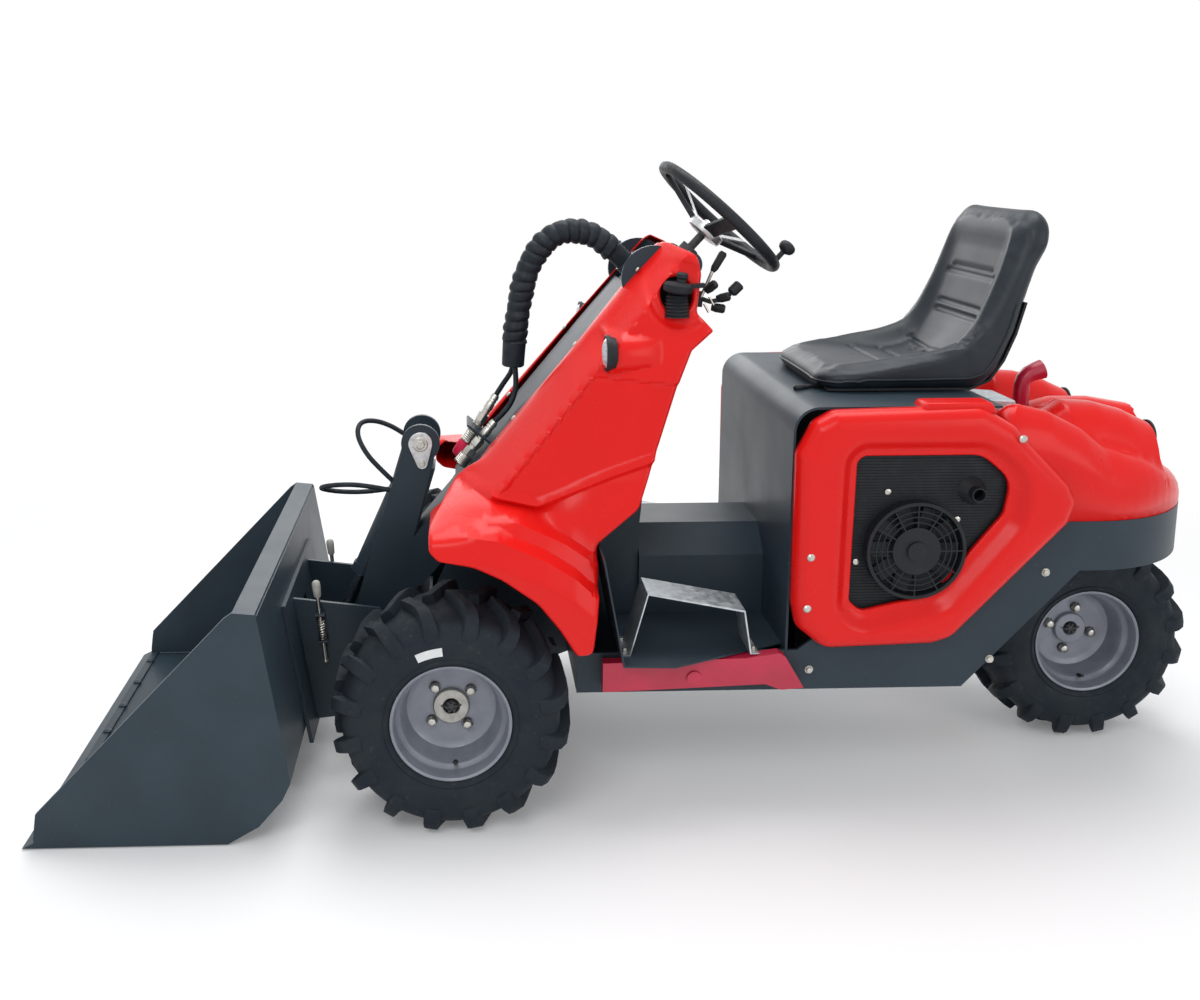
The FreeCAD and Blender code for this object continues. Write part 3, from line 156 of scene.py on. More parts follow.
class Finish:
    """A Principled material whose colour, roughness and bump come from procedural patterns. A pattern is given by
    its scale and its detail: a number for noise, or a feature of cells."""

    def __init__(self, name, colour, roughness, metallic=0, coat=None, specular=None):
        self.material = bpy.data.materials.new(name)
        self.material.use_nodes = True
        self.nodes = self.material.node_tree.nodes
        self.links = self.material.node_tree.links
        self.shader = self.nodes["Principled BSDF"]
        self.height = None
        self.place = self.nodes.new("ShaderNodeTexCoord").outputs["Object"]
        self.set("Base Color", (*colour, 1)).set("Roughness", roughness).set("Metallic", metallic)
        if coat:
            self.set("Coat Weight", coat[0]).set("Coat Roughness", coat[1])
        if specular is not None:
            self.set("Specular IOR Level", specular)

    def set(self, socket, value):
        self.shader.inputs[socket].default_value = value
        return self

    def pattern(self, scale, detail):
        cells = isinstance(detail, str)
        texture = self.nodes.new("ShaderNodeTexVoronoi" if cells else "ShaderNodeTexNoise")
        if cells:
            texture.feature = detail
        else:
            texture.inputs["Detail"].default_value = detail
        texture.inputs["Scale"].default_value = scale
        self.links.new(self.place, texture.inputs["Vector"])
        return texture.outputs[0] if cells else texture.outputs["Fac"]

    def spread(self, value, low, high, to_low, to_high):
        change = self.nodes.new("ShaderNodeMapRange")
        for socket, number in zip(("From Min", "From Max", "To Min", "To Max"), (low, high, to_low, to_high)):
            change.inputs[socket].default_value = number
        self.links.new(value, change.inputs["Value"])
        return change.outputs[0]

    def tint(self, scale, detail, other, low, high):
        """Blends the colour towards another where the pattern is high."""
        blend = self.nodes.new("ShaderNodeMix")
        blend.data_type = "RGBA"
        self.links.new(self.spread(self.pattern(scale, detail), low, high, 0, 1), blend.inputs["Factor"])
        base = self.shader.inputs["Base Color"]
        if base.is_linked:
            self.links.new(base.links[0].from_socket, blend.inputs["A"])
        else:
            blend.inputs["A"].default_value = base.default_value
        blend.inputs["B"].default_value = (*other, 1)
        self.links.new(blend.outputs["Result"], base)
        return self

    def rough(self, scale, detail, low, high, from_low=.3, from_high=.7):
        value = self.spread(self.pattern(scale, detail), from_low, from_high, low, high)
        self.links.new(value, self.shader.inputs["Roughness"])
        return self

    def bump(self, scale, detail, distance, strength):
        bump = self.nodes.new("ShaderNodeBump")
        bump.inputs["Distance"].default_value = distance
        bump.inputs["Strength"].default_value = strength
        self.links.new(self.pattern(scale, detail), bump.inputs["Height"])
        if self.height is not None:
            self.links.new(self.height, bump.inputs["Normal"])
        self.height = bump.outputs[0]
        self.links.new(self.height, self.shader.inputs["Normal"])
        return self


def darker(colour, share):
    return tuple(part * share for part in colour)


def slate_paint(name, colour):
    finish = Finish(name, colour, .42, coat=(.06, .2), specular=.25)
    finish.tint(6, 5, darker(colour, .78), .35, .75).tint(130, 5, (.055, .078, .096), .66, .85)
    return finish.rough(7, 3, .4, .47).bump(900, 2, .00015, .4).material


def bare_steel(name, colour, roughness):
    finish = Finish(name, colour, .3, 1.0).tint(60, 4, darker(colour, .7), .4, .75)
    return finish.rough(90, 4, *roughness).bump(600, 2, .0001, .3).material


def hard_plastic(name, colour):
    finish = Finish(name, colour, .5, specular=.25).tint(30, 4, darker(colour, 1.5), .5, .8)
    return finish.rough(80, 4, .42, .6).bump(1300, 2, .00018, .5).material


def ribbed_lens(name, colour):
    finish = Finish(name, colour, .1).set("Coat Weight", 1.0).set("IOR", 1.45)
    return finish.tint(160, "F1", darker(colour, .6), .3, .8).bump(160, "F1", .001, .5).material


red = (Finish("moulded_red", (.74, .009, .007), .36, coat=(.1, .14), specular=.2)
       .tint(3.5, 3, (.66, .007, .006), .3, .8).tint(240, 4, (.6, .007, .006), .66, .95)
       .rough(9, 5, .24, .36).bump(420, 2, .00012, .35).bump(11, 2, .001, .25)).material
slate = slate_paint("slate_paint", (.024, .039, .053))
bucket_slate = slate_paint("bucket_slate", (.029, .047, .062))
crimson = (Finish("crimson_paint", (.5, .008, .045), .35, coat=(.3, .2))
           .tint(14, 4, (.4, .006, .035), .35, .75).rough(40, 4, .3, .46).bump(700, 2, .00015, .4)).material
galvanised = (Finish("galvanised_sheet", (.52, .56, .59), .38, .85)
              .tint(70, "F1", (.4, .44, .47), .2, .9).tint(35, 5, (.66, .69, .7), .5, .8)
              .rough(55, "F1", .28, .5, .1, .9).bump(300, 3, .0001, .3)).material
zinc = bare_steel("zinc_steel", (.55, .54, .5), (.24, .42))
chrome = bare_steel("chrome_rod", (.72, .73, .75), (.08, .2))
pale_steel = bare_steel("pale_steel", (.6, .61, .62), (.3, .45))
hub_metal = bare_steel("hub_metal", (.42, .41, .38), (.35, .5))
rim_silver = (Finish("rim_paint", (.235, .25, .29), .38, .25, coat=(.2, .25))
              .tint(20, 5, (.17, .185, .22), .35, .8).rough(45, 4, .3, .48).bump(800, 2, .00012, .35)).material
rubber = (Finish("tyre_rubber", (.012, .018, .025), .6, specular=.18)
          .tint(9, 6, (.022, .028, .034), .45, .8).tint(70, 6, (.046, .046, .045), .62, .85)
          .rough(30, 5, .5, .78).bump(260, 4, .0004, .5)).material
hose_black = (Finish("hose_rubber", (.009, .014, .02), .5, specular=.25)
              .tint(50, 5, (.018, .025, .031), .5, .8).rough(60, 4, .42, .66).bump(1100, 2, .0002, .5)).material
vinyl = (Finish("seat_vinyl", (.01, .016, .023), .4, specular=.3)
         .tint(12, 5, (.015, .023, .031), .45, .8).rough(9, 3, .38, .45)
         .bump(420, "DISTANCE_TO_EDGE", .0003, .5).bump(30, 3, .0006, .2)).material
plastic = hard_plastic("black_plastic", (.011, .013, .016))
cap_red = hard_plastic("cap_red", (.62, .01, .06))
pale_grip = hard_plastic("pale_grip", (.42, .42, .38))
label_white = hard_plastic("blank_label", (.7, .72, .72))
cast = (Finish("cast_metal", (.05, .052, .055), .6, .4)
        .tint(40, 6, (.1, .1, .1), .5, .8).rough(60, 4, .5, .75).bump(300, 4, .0006, .6)).material
lens = ribbed_lens("clear_lens", (.5, .52, .55))
tail_lens = ribbed_lens("tail_lens", (.1, .006, .006))

node_finish = {node: material for material, nodes in (
    (bucket_slate, ("bucket", "cutting_edge")), (crimson, ("safety_strut",)), (galvanised, ("steps",)),
    (zinc, ("linkage_pins", "mast_pins")), (chrome, ("lift_rod", "tilt_rod")),
    (plastic, ("seat_pan", "fan_shroud", "fan_rotor", "screens", "air_outlet")),
    (cast, ("engine_block", "front_motors", "rear_motor", "steering_bearing", "steering_column")),
) for node in nodes}


def dress_frame():
    """Paint for the solids that show; most of the others have a piece of the scene in their place."""
    for name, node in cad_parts.items():
        node.data.materials.clear()
        node.data.materials.append(node_finish.get(name, slate))


# --- cords


def cord_curve(name, route, radius, material):
    data = bpy.data.curves.new(name, "CURVE")
    data.dimensions = "3D"
    data.bevel_depth = radius
    data.bevel_resolution = 6
    data.use_fill_caps = True
    spline = data.splines.new("NURBS")
    spline.points.add(len(route) - 1)
    for point, place in zip(spline.points, route):
        point.co = (*at(*place), 1)
    spline.order_u = 3
    spline.use_endpoint_u = True
    spline.resolution_u = 12
    data.materials.append(material)
    curve = bpy.data.objects.new(name, data)
    collection.objects.link(curve)
    return curve


bundle_route = [(-.45, 0, 1.292), (-.412, 0, 1.328), (-.355, 0, 1.369), (-.266, 0, 1.369), (-.198, 0, 1.281),
                (-.174, 0, 1.153), (-.166, 0, 1.08), (-.163, 0, 1.018)]
feed_high_route = [(-.163, -.008, 1.018), (-.16, -.011, 1.003), (-.152, -.015, .988), (-.141, -.018, .972),
                   (-.131, -.02, .956), (-.12, -.02, .938)]
feed_low_route = [(-.168, .01, 1.018), (-.171, .013, .985), (-.168, .018, .95), (-.155, .023, .92),
                  (-.136, .027, .897), (-.115, .028, .877)]
loop_high_route = [(.098, -.0425, .808), (.135, -.043, .838), (.19, -.038, .866), (.236, -.014, .872),
                   (.246, .022, .846), (.222, .042, .8), (.186, .043, .758), (.15, .0425, .722)]
loop_low_route = [(.15, .0425, .697), (.2, .044, .708), (.255, .045, .716), (.31, .036, .712),
                  (.345, .008, .698), (.34, -.028, .682), (.3, -.046, .67), (.245, -.047, .668),
                  (.195, -.044, .673), (.15, -.0425, .68)]
hoses = [
    ("hose_bundle", bundle_route, .026, .579, "stiff"),
    ("feed_hose_high", feed_high_route, .007, .093, "stiff"),
    ("feed_hose_low", feed_low_route, .007, .16, "stiff"),
    ("tilt_hose_high", loop_high_route, .0065, .361, "medium"),
    ("tilt_hose_low", loop_low_route, .0065, .438, "medium"),
]


def hang_hoses():
    for node, route, radius, length, stiffness in hoses:
        curve = cord_curve(node + "_line", route, radius, hose_black)
        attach(curve, "boom")
        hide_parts(node)


# --- mesh-making helpers

sheet_wall = .004
triangle_height = .866  # where a side is 1


def add_object(name, mesh, body, material, stands_for=()):
    mesh.materials.append(material)
    piece = bpy.data.objects.new(name, mesh)
    collection.objects.link(piece)
    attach(piece, body)
    if stands_for:
        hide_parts(*stands_for)
    return piece


def finish_mesh(bm, name, sharp):
    """Ends a form: smooth, with its edges sharp from an angle in degrees on."""
    mesh = bpy.data.meshes.new(name)
    bm.to_mesh(mesh)
    bm.free()
    mesh.shade_smooth()
    mesh.set_sharp_from_angle(angle=math.radians(sharp))
    return mesh


def solid_mesh(bm, name, sharp):
    bmesh.ops.recalc_face_normals(bm, faces=bm.faces)
    return finish_mesh(bm, name, sharp)


def add_form(bm, name, sharp, body, material, stands_for=()):
    return add_object(name, solid_mesh(bm, name, sharp), body, material, stands_for)


def bevel(piece, width, segments=2):
    modifier = piece.modifiers.new("bevel", "BEVEL")
    modifier.width = width
    modifier.segments = segments
    modifier.limit_method = "ANGLE"
    modifier.angle_limit = math.radians(40)


def frame_along(axis):
    """An axis and two directions across it."""
    axis = Vector(axis).normalized()
    side = axis.cross(upward)
    if side.length < .01:
        side = axis.cross(left)
    side.normalize()
    return axis, side, axis.cross(side)


def turns(count, start=0):
    """Angles of one whole turn in equal steps."""
    return [start + 2 * math.pi * i / count for i in range(count)]


def around(first, second, turn):
    """Direction at an angle from the first towards the second, which are square to each other."""
    return first * math.cos(turn) + second * math.sin(turn)


def heading(path, i):
    return (path[min(i + 1, len(path) - 1)] - path[max(i - 1, 0)]).normalized()


def skin(bm, rings, closed=False, ends=(-1, 1)):
    """Faces between rings of points. The ends are capped, in the order of their points or against it (-1), unless
    the last ring joins the first."""
    rings = [[bm.verts.new(point) for point in ring] for ring in rings]
    count = len(rings[0])
    for low, high in zip(rings, rings[1:] + rings[:1] if closed else rings[1:]):
        for i in range(count):
            j = (i + 1) % count
            bm.faces.new((low[i], low[j], high[j], high[i]))
    if not closed:
        for ring, order in zip((rings[0], rings[-1]), ends):
            bm.faces.new(ring[::order])


def lathe(bm, start, axis, profile, segments=32, turn=0):
    """Closed turned form: profile is (distance along the axis, radius), from end to end."""
    axis, side, up = frame_along(axis)
    skin(bm, [[Vector(start) + axis * along + around(side, up, a) * radius for a in turns(segments, turn)]
              for along, radius in profile])


def ring_lathe(bm, centre, axis, section, segments=48):
    """Turned ring: section is a closed loop of (distance along the axis, radius)."""
    axis, side, up = frame_along(axis)
    skin(bm, [[Vector(centre) + axis * along + around(side, up, a) * radius for along, radius in section]
              for a in turns(segments)], closed=True)


def sweep(bm, path, radius, segments=12):
    """Tube along points, with capped ends; radius is one number, or a list with one for each point."""
    path = [Vector(p) for p in path]
    sizes = radius if isinstance(radius, list) else [radius] * len(path)
    up = frame_along(heading(path, 0))[1]
    rings = []
    for i, p in enumerate(path):
        ahead = heading(path, i)
        up = (up - ahead * up.dot(ahead)).normalized()
        rings.append([p + around(up, ahead.cross(up), a) * sizes[i] for a in turns(segments)])
    skin(bm, rings)


def prism(bm, outline, y0, y1):
    """Side outline of (x, z) from the front axle, between two planes across the machine."""
    skin(bm, [[at(x, y, z) for x, z in outline] for y in sorted((y0, y1))])


def bar_between(bm, start, end, width, thick, flat_normal):
    """Flat bar with its broad side square to a direction."""
    run = (end - start).normalized()
    side = run.cross(flat_normal).normalized()
    up = side.cross(run)
    skin(bm, [[place + side * a * width / 2 + up * b * thick / 2 for a, b in ((-1, -1), (1, -1), (1, 1), (-1, 1))]
              for place in (start, end)])


def arc(x, z, radius, start, angle, steps):
    """Points of (x, z) along an arc, with its start and angle in degrees."""
    return [(x + radius * math.cos(a), z + radius * math.sin(a))
            for a in (math.radians(start + angle * i / steps) for i in range(steps + 1))]


def hexagon_bolt(bm, place, axis, across):
    """Hexagon head on a washer."""
    radius = across / 2 / math.cos(math.pi / 6)
    lathe(bm, place, axis, [(0, across * .72), (across * .1, across * .72)], 20)
    start = Vector(place) + Vector(axis).normalized() * across * .1
    lathe(bm, start, axis, [(0, radius), (across * .4, radius), (across * .48, radius * .86)], 6)


def line_value(x, stops):
    """Straight interpolation through (place, value) stops in rising order."""
    if x <= stops[0][0]:
        return stops[0][1]
    for (x0, v0), (x1, v1) in zip(stops, stops[1:]):
        if x <= x1:
            return v0 + (v1 - v0) * (x - x0) / (x1 - x0)
    return stops[-1][1]


def smooth_step(x, low, high):
    t = min(1, max(0, (x - low) / (high - low)))
    return t * t * (3 - 2 * t)


def rounded_loop(corners, radius, steps=5):
    """Outline with each corner turned as an arc; a corner may give its own radius."""
    result = []
    count = len(corners)
    for i in range(count):
        here = Vector(corners[i][:2])
        size = corners[i][2] if len(corners[i]) > 2 else radius
        before = Vector(corners[i - 1][:2]) - here
        after = Vector(corners[(i + 1) % count][:2]) - here
        angle = before.angle(after)
        reach = min(size / math.tan(angle / 2), .48 * before.length, .48 * after.length)
        if reach < .001:
            result.append(tuple(here))
            continue
        start, end = here + before.normalized() * reach, here + after.normalized() * reach
        for k in range(steps + 1):
            t = k / steps
            p = start * (1 - t) ** 2 + here * 2 * t * (1 - t) + end * t * t
            result.append((p.x, p.y))
    return result


def resample(loop, spacing):
    result = []
    for i, p in enumerate(loop):
        q = loop[(i + 1) % len(loop)]
        steps = max(1, round(math.dist(p, q) / spacing))
        result += [(p[0] + (q[0] - p[0]) * k / steps, p[1] + (q[1] - p[1]) * k / steps) for k in range(steps)]
    return result


def distances(points, loop):
    """Distance of each point to a closed outline."""
    points = np.asarray(points)
    a = np.asarray(loop)
    b = np.roll(a, -1, axis=0)
    along = b - a
    length = np.maximum((along ** 2).sum(1), 1e-12)
    best = np.full(len(points), 1e9)
    for i in range(len(a)):
        t = np.clip(((points - a[i]) @ along[i]) / length[i], 0, 1)
        gap = points - (a[i] + t[:, None] * along[i])
        best = np.minimum(best, np.hypot(gap[:, 0], gap[:, 1]))
    return best


def inside(points, loop):
    points = np.asarray(points)
    result = np.zeros(len(points), bool)
    for i in range(len(loop)):
        (x0, y0), (x1, y1) = loop[i - 1], loop[i]
        crosses = (y0 > points[:, 1]) != (y1 > points[:, 1])
        if crosses.any():
            x = x0 + (points[crosses, 1] - y0) * (x1 - x0) / (y1 - y0)
            result[crosses] ^= points[crosses, 0] < x
    return result


def offset_ring(loop, distance, sign):
    """Points a distance inside (or, for a hole, outside) an outline."""
    area = sum(loop[i - 1][0] * loop[i][1] - loop[i][0] * loop[i - 1][1] for i in range(len(loop)))
    turn = sign if area > 0 else -sign
    result = []
    for i in range(len(loop)):
        before, after = Vector(loop[i - 1]), Vector(loop[(i + 1) % len(loop)])
        run = (after - before).normalized()
        result.append((loop[i][0] - run.y * distance * turn, loop[i][1] + run.x * distance * turn))
    return result


def within(points, outer, inner):
    """Which points lie inside an outline and outside its holes."""
    kept = inside(points, outer)
    for loop in inner:
        kept &= ~inside(points, loop)
    return kept


def edge_points(loop, sign, rounding):
    """Rows of points along an outline, where the sheet's edge is rounded."""
    points = []
    for share in (.08, .25, .5, .78, 1.0):
        ring = np.asarray(offset_ring(loop, rounding * share, sign))
        points += [tuple(p) for p in ring[distances(ring, loop) > rounding * share * .97]]
    return points


def field_points(outer, inner, spacing, rounding, hole_rounding, creases):
    """Points in a pattern of triangles, clear of the edges and creases."""
    low = [min(p[k] for p in outer) for k in (0, 1)]
    high = [max(p[k] for p in outer) for k in (0, 1)]
    columns = int((high[0] - low[0]) / spacing) + 1
    rows = int((high[1] - low[1]) / (spacing * triangle_height)) + 1
    grid = [(low[0] + (i + .5 * (j % 2)) * spacing, low[1] + j * spacing * triangle_height)
            for j in range(rows) for i in range(columns)]
    far = distances(grid, outer) > rounding + spacing * .5
    for loop in inner:
        far &= distances(grid, loop) > hole_rounding + spacing * .5
    for line in creases:
        far &= distances(grid, line + line[::-1]) > spacing * .6
    return [grid[i] for i in np.nonzero(far)[0]]


def rounded_drop(gap, rounding):
    """How far a rounded edge has dropped at a distance from the outline."""
    reach = max(0, rounding - gap)
    return rounding - math.sqrt(max(0, rounding * rounding - reach * reach))


def relief(node, outline, height, spacing, place, rounding, back, holes=(), hole_rounding=.004, hole_back=None,
           creases=()):
    """A moulded red sheet over an outline: height(u, v, rim distance, hole distance) with its rim rounded down
    to a skirt, and the edges of its holes turned in."""
    outer = resample(outline, spacing)
    inner = [resample(hole, spacing * .7) for hole in holes]
    points = edge_points(outer, 1, rounding)
    for loop in inner:
        points += edge_points(loop, -1, hole_rounding)
    points += field_points(outer, inner, spacing, rounding, hole_rounding, creases)
    cell = spacing * .22
    seen = {}
    for p in points:
        seen.setdefault((round(p[0] / cell), round(p[1] / cell)), p)
    points = list(seen.values())
    points = [p for p, keep in zip(points, within(points, outer, inner)) if keep]
    corners, edges = [], []
    for line in [outer] + inner + list(creases):
        start, count = len(corners), len(line)
        corners += line
        edges += [(start + i, start + (i + 1) % count) for i in range(count - 1 if line in creases else count)]
    verts, _, faces, *_ = geometry.delaunay_2d_cdt([Vector(p) for p in corners + points], edges, [], 0, 1e-6)
    verts = [(v.x, v.y) for v in verts]
    middles = [tuple(sum(verts[i][k] for i in face) / len(face) for k in (0, 1)) for face in faces]
    rim = distances(verts, outer)
    edge = np.full(len(verts), 1e9)
    for loop in inner:
        edge = np.minimum(edge, distances(verts, loop))
    heights = [height(u, v, gap, hole_gap) - rounded_drop(gap, rounding) - rounded_drop(hole_gap, hole_rounding)
               for (u, v), gap, hole_gap in zip(verts, rim, edge)]
    bm = bmesh.new()
    top = [bm.verts.new(place(u, v, h)) for (u, v), h in zip(verts, heights)]
    for face, keep in zip(faces, within(middles, outer, inner)):
        if keep:
            bm.faces.new([top[i] for i in face])
    # skirts round the rim and the holes
    open_edges = [e for e in bm.edges if len(e.link_faces) == 1]
    where = {v: i for i, v in enumerate(top)}
    lower = {}
    for e in open_edges:
        for v in e.verts:
            if v not in lower:
                i = where[v]
                u, w = verts[i]
                base = back(u, w) if rim[i] < edge[i] or hole_back is None else hole_back
                lower[v] = bm.verts.new(place(u, w, min(base, heights[i] - .002)))
    for e in open_edges:
        a, b = e.verts
        bm.faces.new((a, b, lower[b], lower[a]))
    bmesh.ops.delete(bm, geom=[v for v in bm.verts if not v.link_faces], context="VERTS")
    bmesh.ops.recalc_face_normals(bm, faces=bm.faces)
    outward = place(0, 0, 1) - place(0, 0, 0)
    if sum(f.normal.dot(outward) * f.calc_area() for f in bm.faces) < 0:
        bmesh.ops.reverse_faces(bm, faces=bm.faces)
    piece = add_object(node + "_shell", finish_mesh(bm, node, 38), "root", red, (node,))
    wall = piece.modifiers.new("wall", "SOLIDIFY")
    wall.thickness = sheet_wall
    wall.offset = -1
    wall.use_even_offset = False


def on_side(side):
    """Places given as (x, z, distance from the middle plane) on the left (1) or the right (-1)."""
    return lambda x, z, y: at(x, side * y, z)


def placed(mesh, offset, mirror=False):
    """A copy of a mesh that was made at the origin, put in its place."""
    copy = mesh.copy()
    if mirror:
        copy.transform(Matrix.Scale(-1, 4, left))
        copy.flip_normals()
    copy.transform(Matrix.Translation(offset))
    return copy


def evaluated_mesh(piece):
    return bpy.data.meshes.new_from_object(piece.evaluated_get(bpy.context.evaluated_depsgraph_get()))


def carve(piece, cutter_mesh):
    """Cuts a closed mesh out of a piece for good."""
    cutter = bpy.data.objects.new("cutter", cutter_mesh)
    collection.objects.link(cutter)
    modifier = piece.modifiers.new("cut", "BOOLEAN")
    modifier.object = cutter
    modifier.solver = "EXACT"
    piece.data = evaluated_mesh(piece)
    piece.modifiers.clear()
    bpy.data.objects.remove(cutter)
    piece.data.shade_smooth()
    piece.data.set_sharp_from_angle(angle=math.radians(32))


# --- wheels

# Sections are points of (distance from the wheel's middle plane, radius).
tyre_side = [(.104, .1412), (.1105, .1455), (.1145, .153), (.112, .1565), (.115, .162), (.1172, .172),
             (.1185, .185), (.1186, .198), (.117, .211), (.115, .215), (.1152, .217), (.112, .229),
             (.105, .24), (.092, .248), (.07, .253), (.035, .256)]
tyre_lining = [(0, .244), (.07, .24), (.098, .226), (.106, .2), (.106, .17), (.099, .15)]
lug_top = [(-.01, .279), (.03, .2792), (.062, .2788), (.09, .274), (.1085, .261), (.1172, .244), (.1195, .229),
           (.1195, .217), (.1192, .208)]
lug_foot = [(-.01, .25), (.03, .25), (.06, .248), (.084, .242), (.1, .233), (.108, .222), (.112, .216),
            (.114, .21), (.115, .206)]
lug_back = [0, -.02, -.036, -.046, -.051, -.053, -.053, -.052, -.05]
lug_half = [.012, .0125, .0135, .015, .0165, .018, .019, .0185, .013]


def tread_lug(bm, turn, side):
    """A stepped bar from the crown over the shoulder, ending in a point on the side wall."""
    rows = []
    for (y1, r1), (y0, r0), back, half in zip(lug_top, lug_foot, lug_back, lug_half):
        row = []
        for across, height in ((-half - .006, 0), (-half - .0015, .72), (-half + .002, 1), (half - .002, 1),
                               (half + .0015, .72), (half + .006, 0)):
            y, r = y0 + (y1 - y0) * height, r0 + (r1 - r0) * height
            a = turn + (across + back) / tread_radius
            row.append((r * math.sin(a), side * y, r * math.cos(a)))
        rows.append(row)
    skin(bm, rows, ends=(1, 1))


def tyre_mesh():
    bm = bmesh.new()
    section = tyre_side + [(0, .257)] + [(-y, r) for y, r in reversed(tyre_side)]
    section += [(-y, r) for y, r in reversed(tyre_lining[1:])] + tyre_lining
    ring_lathe(bm, (0, 0, 0), left, section, 96)
    pitch = 2 * math.pi / lug_count
    for i in range(lug_count):
        tread_lug(bm, i * pitch, 1)
        tread_lug(bm, (i + .5) * pitch, -1)
    return solid_mesh(bm, "tyre", 34)


rim_outer = [(.108, .14), (.1085, .1375), (.1062, .1335), (.1, .1312), (.09, .1296), (.08, .129),
             (.075, .1268), (.07, .1195), (.064, .116), (.05, .114), (.03, .1105), (.017, .105),
             (.011, .096), (.009, .088), (.0082, .06), (.0082, .024)]
rim_inner = [(-.002, .024), (-.002, .09), (.003, .105), (-.03, .108), (-.064, .11), (-.072, .1195),
             (-.078, .125), (-.098, .127), (-.106, .133), (-.1085, .1375), (-.108, .1404), (-.103, .1404),
             (-.101, .133), (-.098, .1312), (-.072, .13), (-.064, .118), (-.03, .114), (.025, .116),
             (.06, .12), (.07, .131), (.098, .1345), (.103, .1404)]
stud_radius = .06
lug_count = 16
tread_radius = .262  # where a lug's width is measured
half_track = .4


def rim_mesh():
    bm = bmesh.new()
    ring_lathe(bm, (0, 0, 0), left, rim_outer + rim_inner, 72)
    return solid_mesh(bm, "rim", 32)


def on_studs(name, turn, profile):
    """The same turned form at each of the four studs."""
    bm = bmesh.new()
    for i in range(4):
        a = math.radians(turn + 90 * i)
        lathe(bm, (stud_radius * math.cos(a), .003, stud_radius * math.sin(a)), left, profile, 20)
    return solid_mesh(bm, name, 40)


def hub_mesh():
    bm = bmesh.new()
    ring = [(.002, .043), (.016, .043), (.019, .0405), (.019, .021), (.017, .019), (.008, .018), (.002, .018)]
    ring_lathe(bm, (0, 0, 0), left, ring)
    return solid_mesh(bm, "hub", 32)


def hub_nut_mesh():
    """Castle nut and split pin on the axle's end."""
    bm = bmesh.new()
    lathe(bm, (0, .002, 0), left, [(0, .018), (.004, .018)], 24)
    lathe(bm, (0, .006, 0), left, [(0, .015), (.01, .015), (.0115, .0135)], 6, .4)
    lathe(bm, (0, .0175, 0), left, [(0, .008), (.004, .008), (.0055, .006)], 16)
    for i in range(6):
        a = .4 + (i + .5) * math.pi / 3
        out = Vector((math.cos(a), 0, math.sin(a)))
        lathe(bm, out * .011 + Vector((0, .0165, 0)), left, [(0, .0036), (.006, .0036)], 6)
    sweep(bm, [(-.024, .0215, .004), (0, .0215, 0), (.024, .0215, .002)], .0016, 8)
    return solid_mesh(bm, "hub_nut", 40)


def valve_mesh():
    bm = bmesh.new()
    lathe(bm, (-.01, .06, -.119), (.05, .9, .4), [(0, .0065), (.006, .0065), (.01, .0045), (.028, .004)], 14)
    return solid_mesh(bm, "valve", 40)


def blank_label():
    """Pale label on the side wall, without its print."""
    bm = bmesh.new()
    rows = []
    for i in range(9):
        a = math.radians(5.7 + 2.4 * i)
        rows.append([(r * math.sin(a), y, r * math.cos(a))
                     for r, y in ((.171, .1182), (.171, .1195), (.191, .1195), (.191, .1182))])
    skin(bm, rows, ends=(1, 1))
    return solid_mesh(bm, "label", 30)


def wheels():
    tyre, rim, hub, hub_nut, valve = tyre_mesh(), rim_mesh(), hub_mesh(), hub_nut_mesh(), valve_mesh()
    wheel_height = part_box("front_tyre_left")[1][2] / 2
    rear_axle = sum(corner[0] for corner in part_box("rear_tyre")) / 2
    for end, node, x, y, stud_turn, hub_paint in (
            ("front_left", "front_{}_left", front_axle_x, half_track, 50.5, hub_metal),
            ("front_right", "front_{}_right", front_axle_x, -half_track, 50.5, hub_metal),
            ("rear", "rear_{}", rear_axle, 0, 13, rim_silver)):
        offset = Vector((x, y, wheel_height))
        nuts = on_studs("nuts", stud_turn, [(0, .0112), (.018, .0112), (.0225, .0095), (.025, .005)])
        for part, mesh, material, slot in (
                ("tyre", tyre, rubber, "tyre_rubber"), ("rim", rim, rim_silver, "rim_silver"),
                ("studs", nuts, zinc, "bright_steel"), ("hub", hub, hub_paint, "bright_steel"),
                ("hub_nut", hub_nut, cast, "cast_black"), ("valve", valve, plastic, "black_plastic")):
            piece = add_object(part + "_" + end, placed(mesh, offset, y < 0), end + "_wheel", material,
                               (node.format(part),) if part in ("tyre", "rim") else ())
            if part == "rim":
                sockets = on_studs("sockets", stud_turn, [(0, .0135), (.012, .016)])
                carve(piece, placed(sockets, offset, y < 0))
    add_object("label_blank", placed(blank_label(), Vector((front_axle_x, half_track, wheel_height))),
               "front_left_wheel", label_white)


# --- seat

seat_half = .232
# Points of (x, z) round the seat, seen from its side, from the front edge over the top to the back and below.
seat_profile = [(-.905, 1.01), (-.912, 1.028), (-.94, 1.037), (-1, 1.042), (-1.06, 1.05), (-1.12, 1.06),
                (-1.2, 1.074), (-1.262, 1.098), (-1.3, 1.138), (-1.331, 1.2), (-1.358, 1.27), (-1.381, 1.345),
                (-1.396, 1.4), (-1.412, 1.426), (-1.432, 1.433), (-1.45, 1.422), (-1.455, 1.398), (-1.45, 1.36),
                (-1.43, 1.29), (-1.406, 1.205), (-1.386, 1.128), (-1.36, 1.062), (-1.328, 1.015), (-1.284, .9955),
                (-1.2, .995), (-1.08, .995), (-.98, .995), (-.92, .996)]
face_start, face_end = 2, 12  # of the side that the driver touches
seat_steps = 4  # between two points of the profile


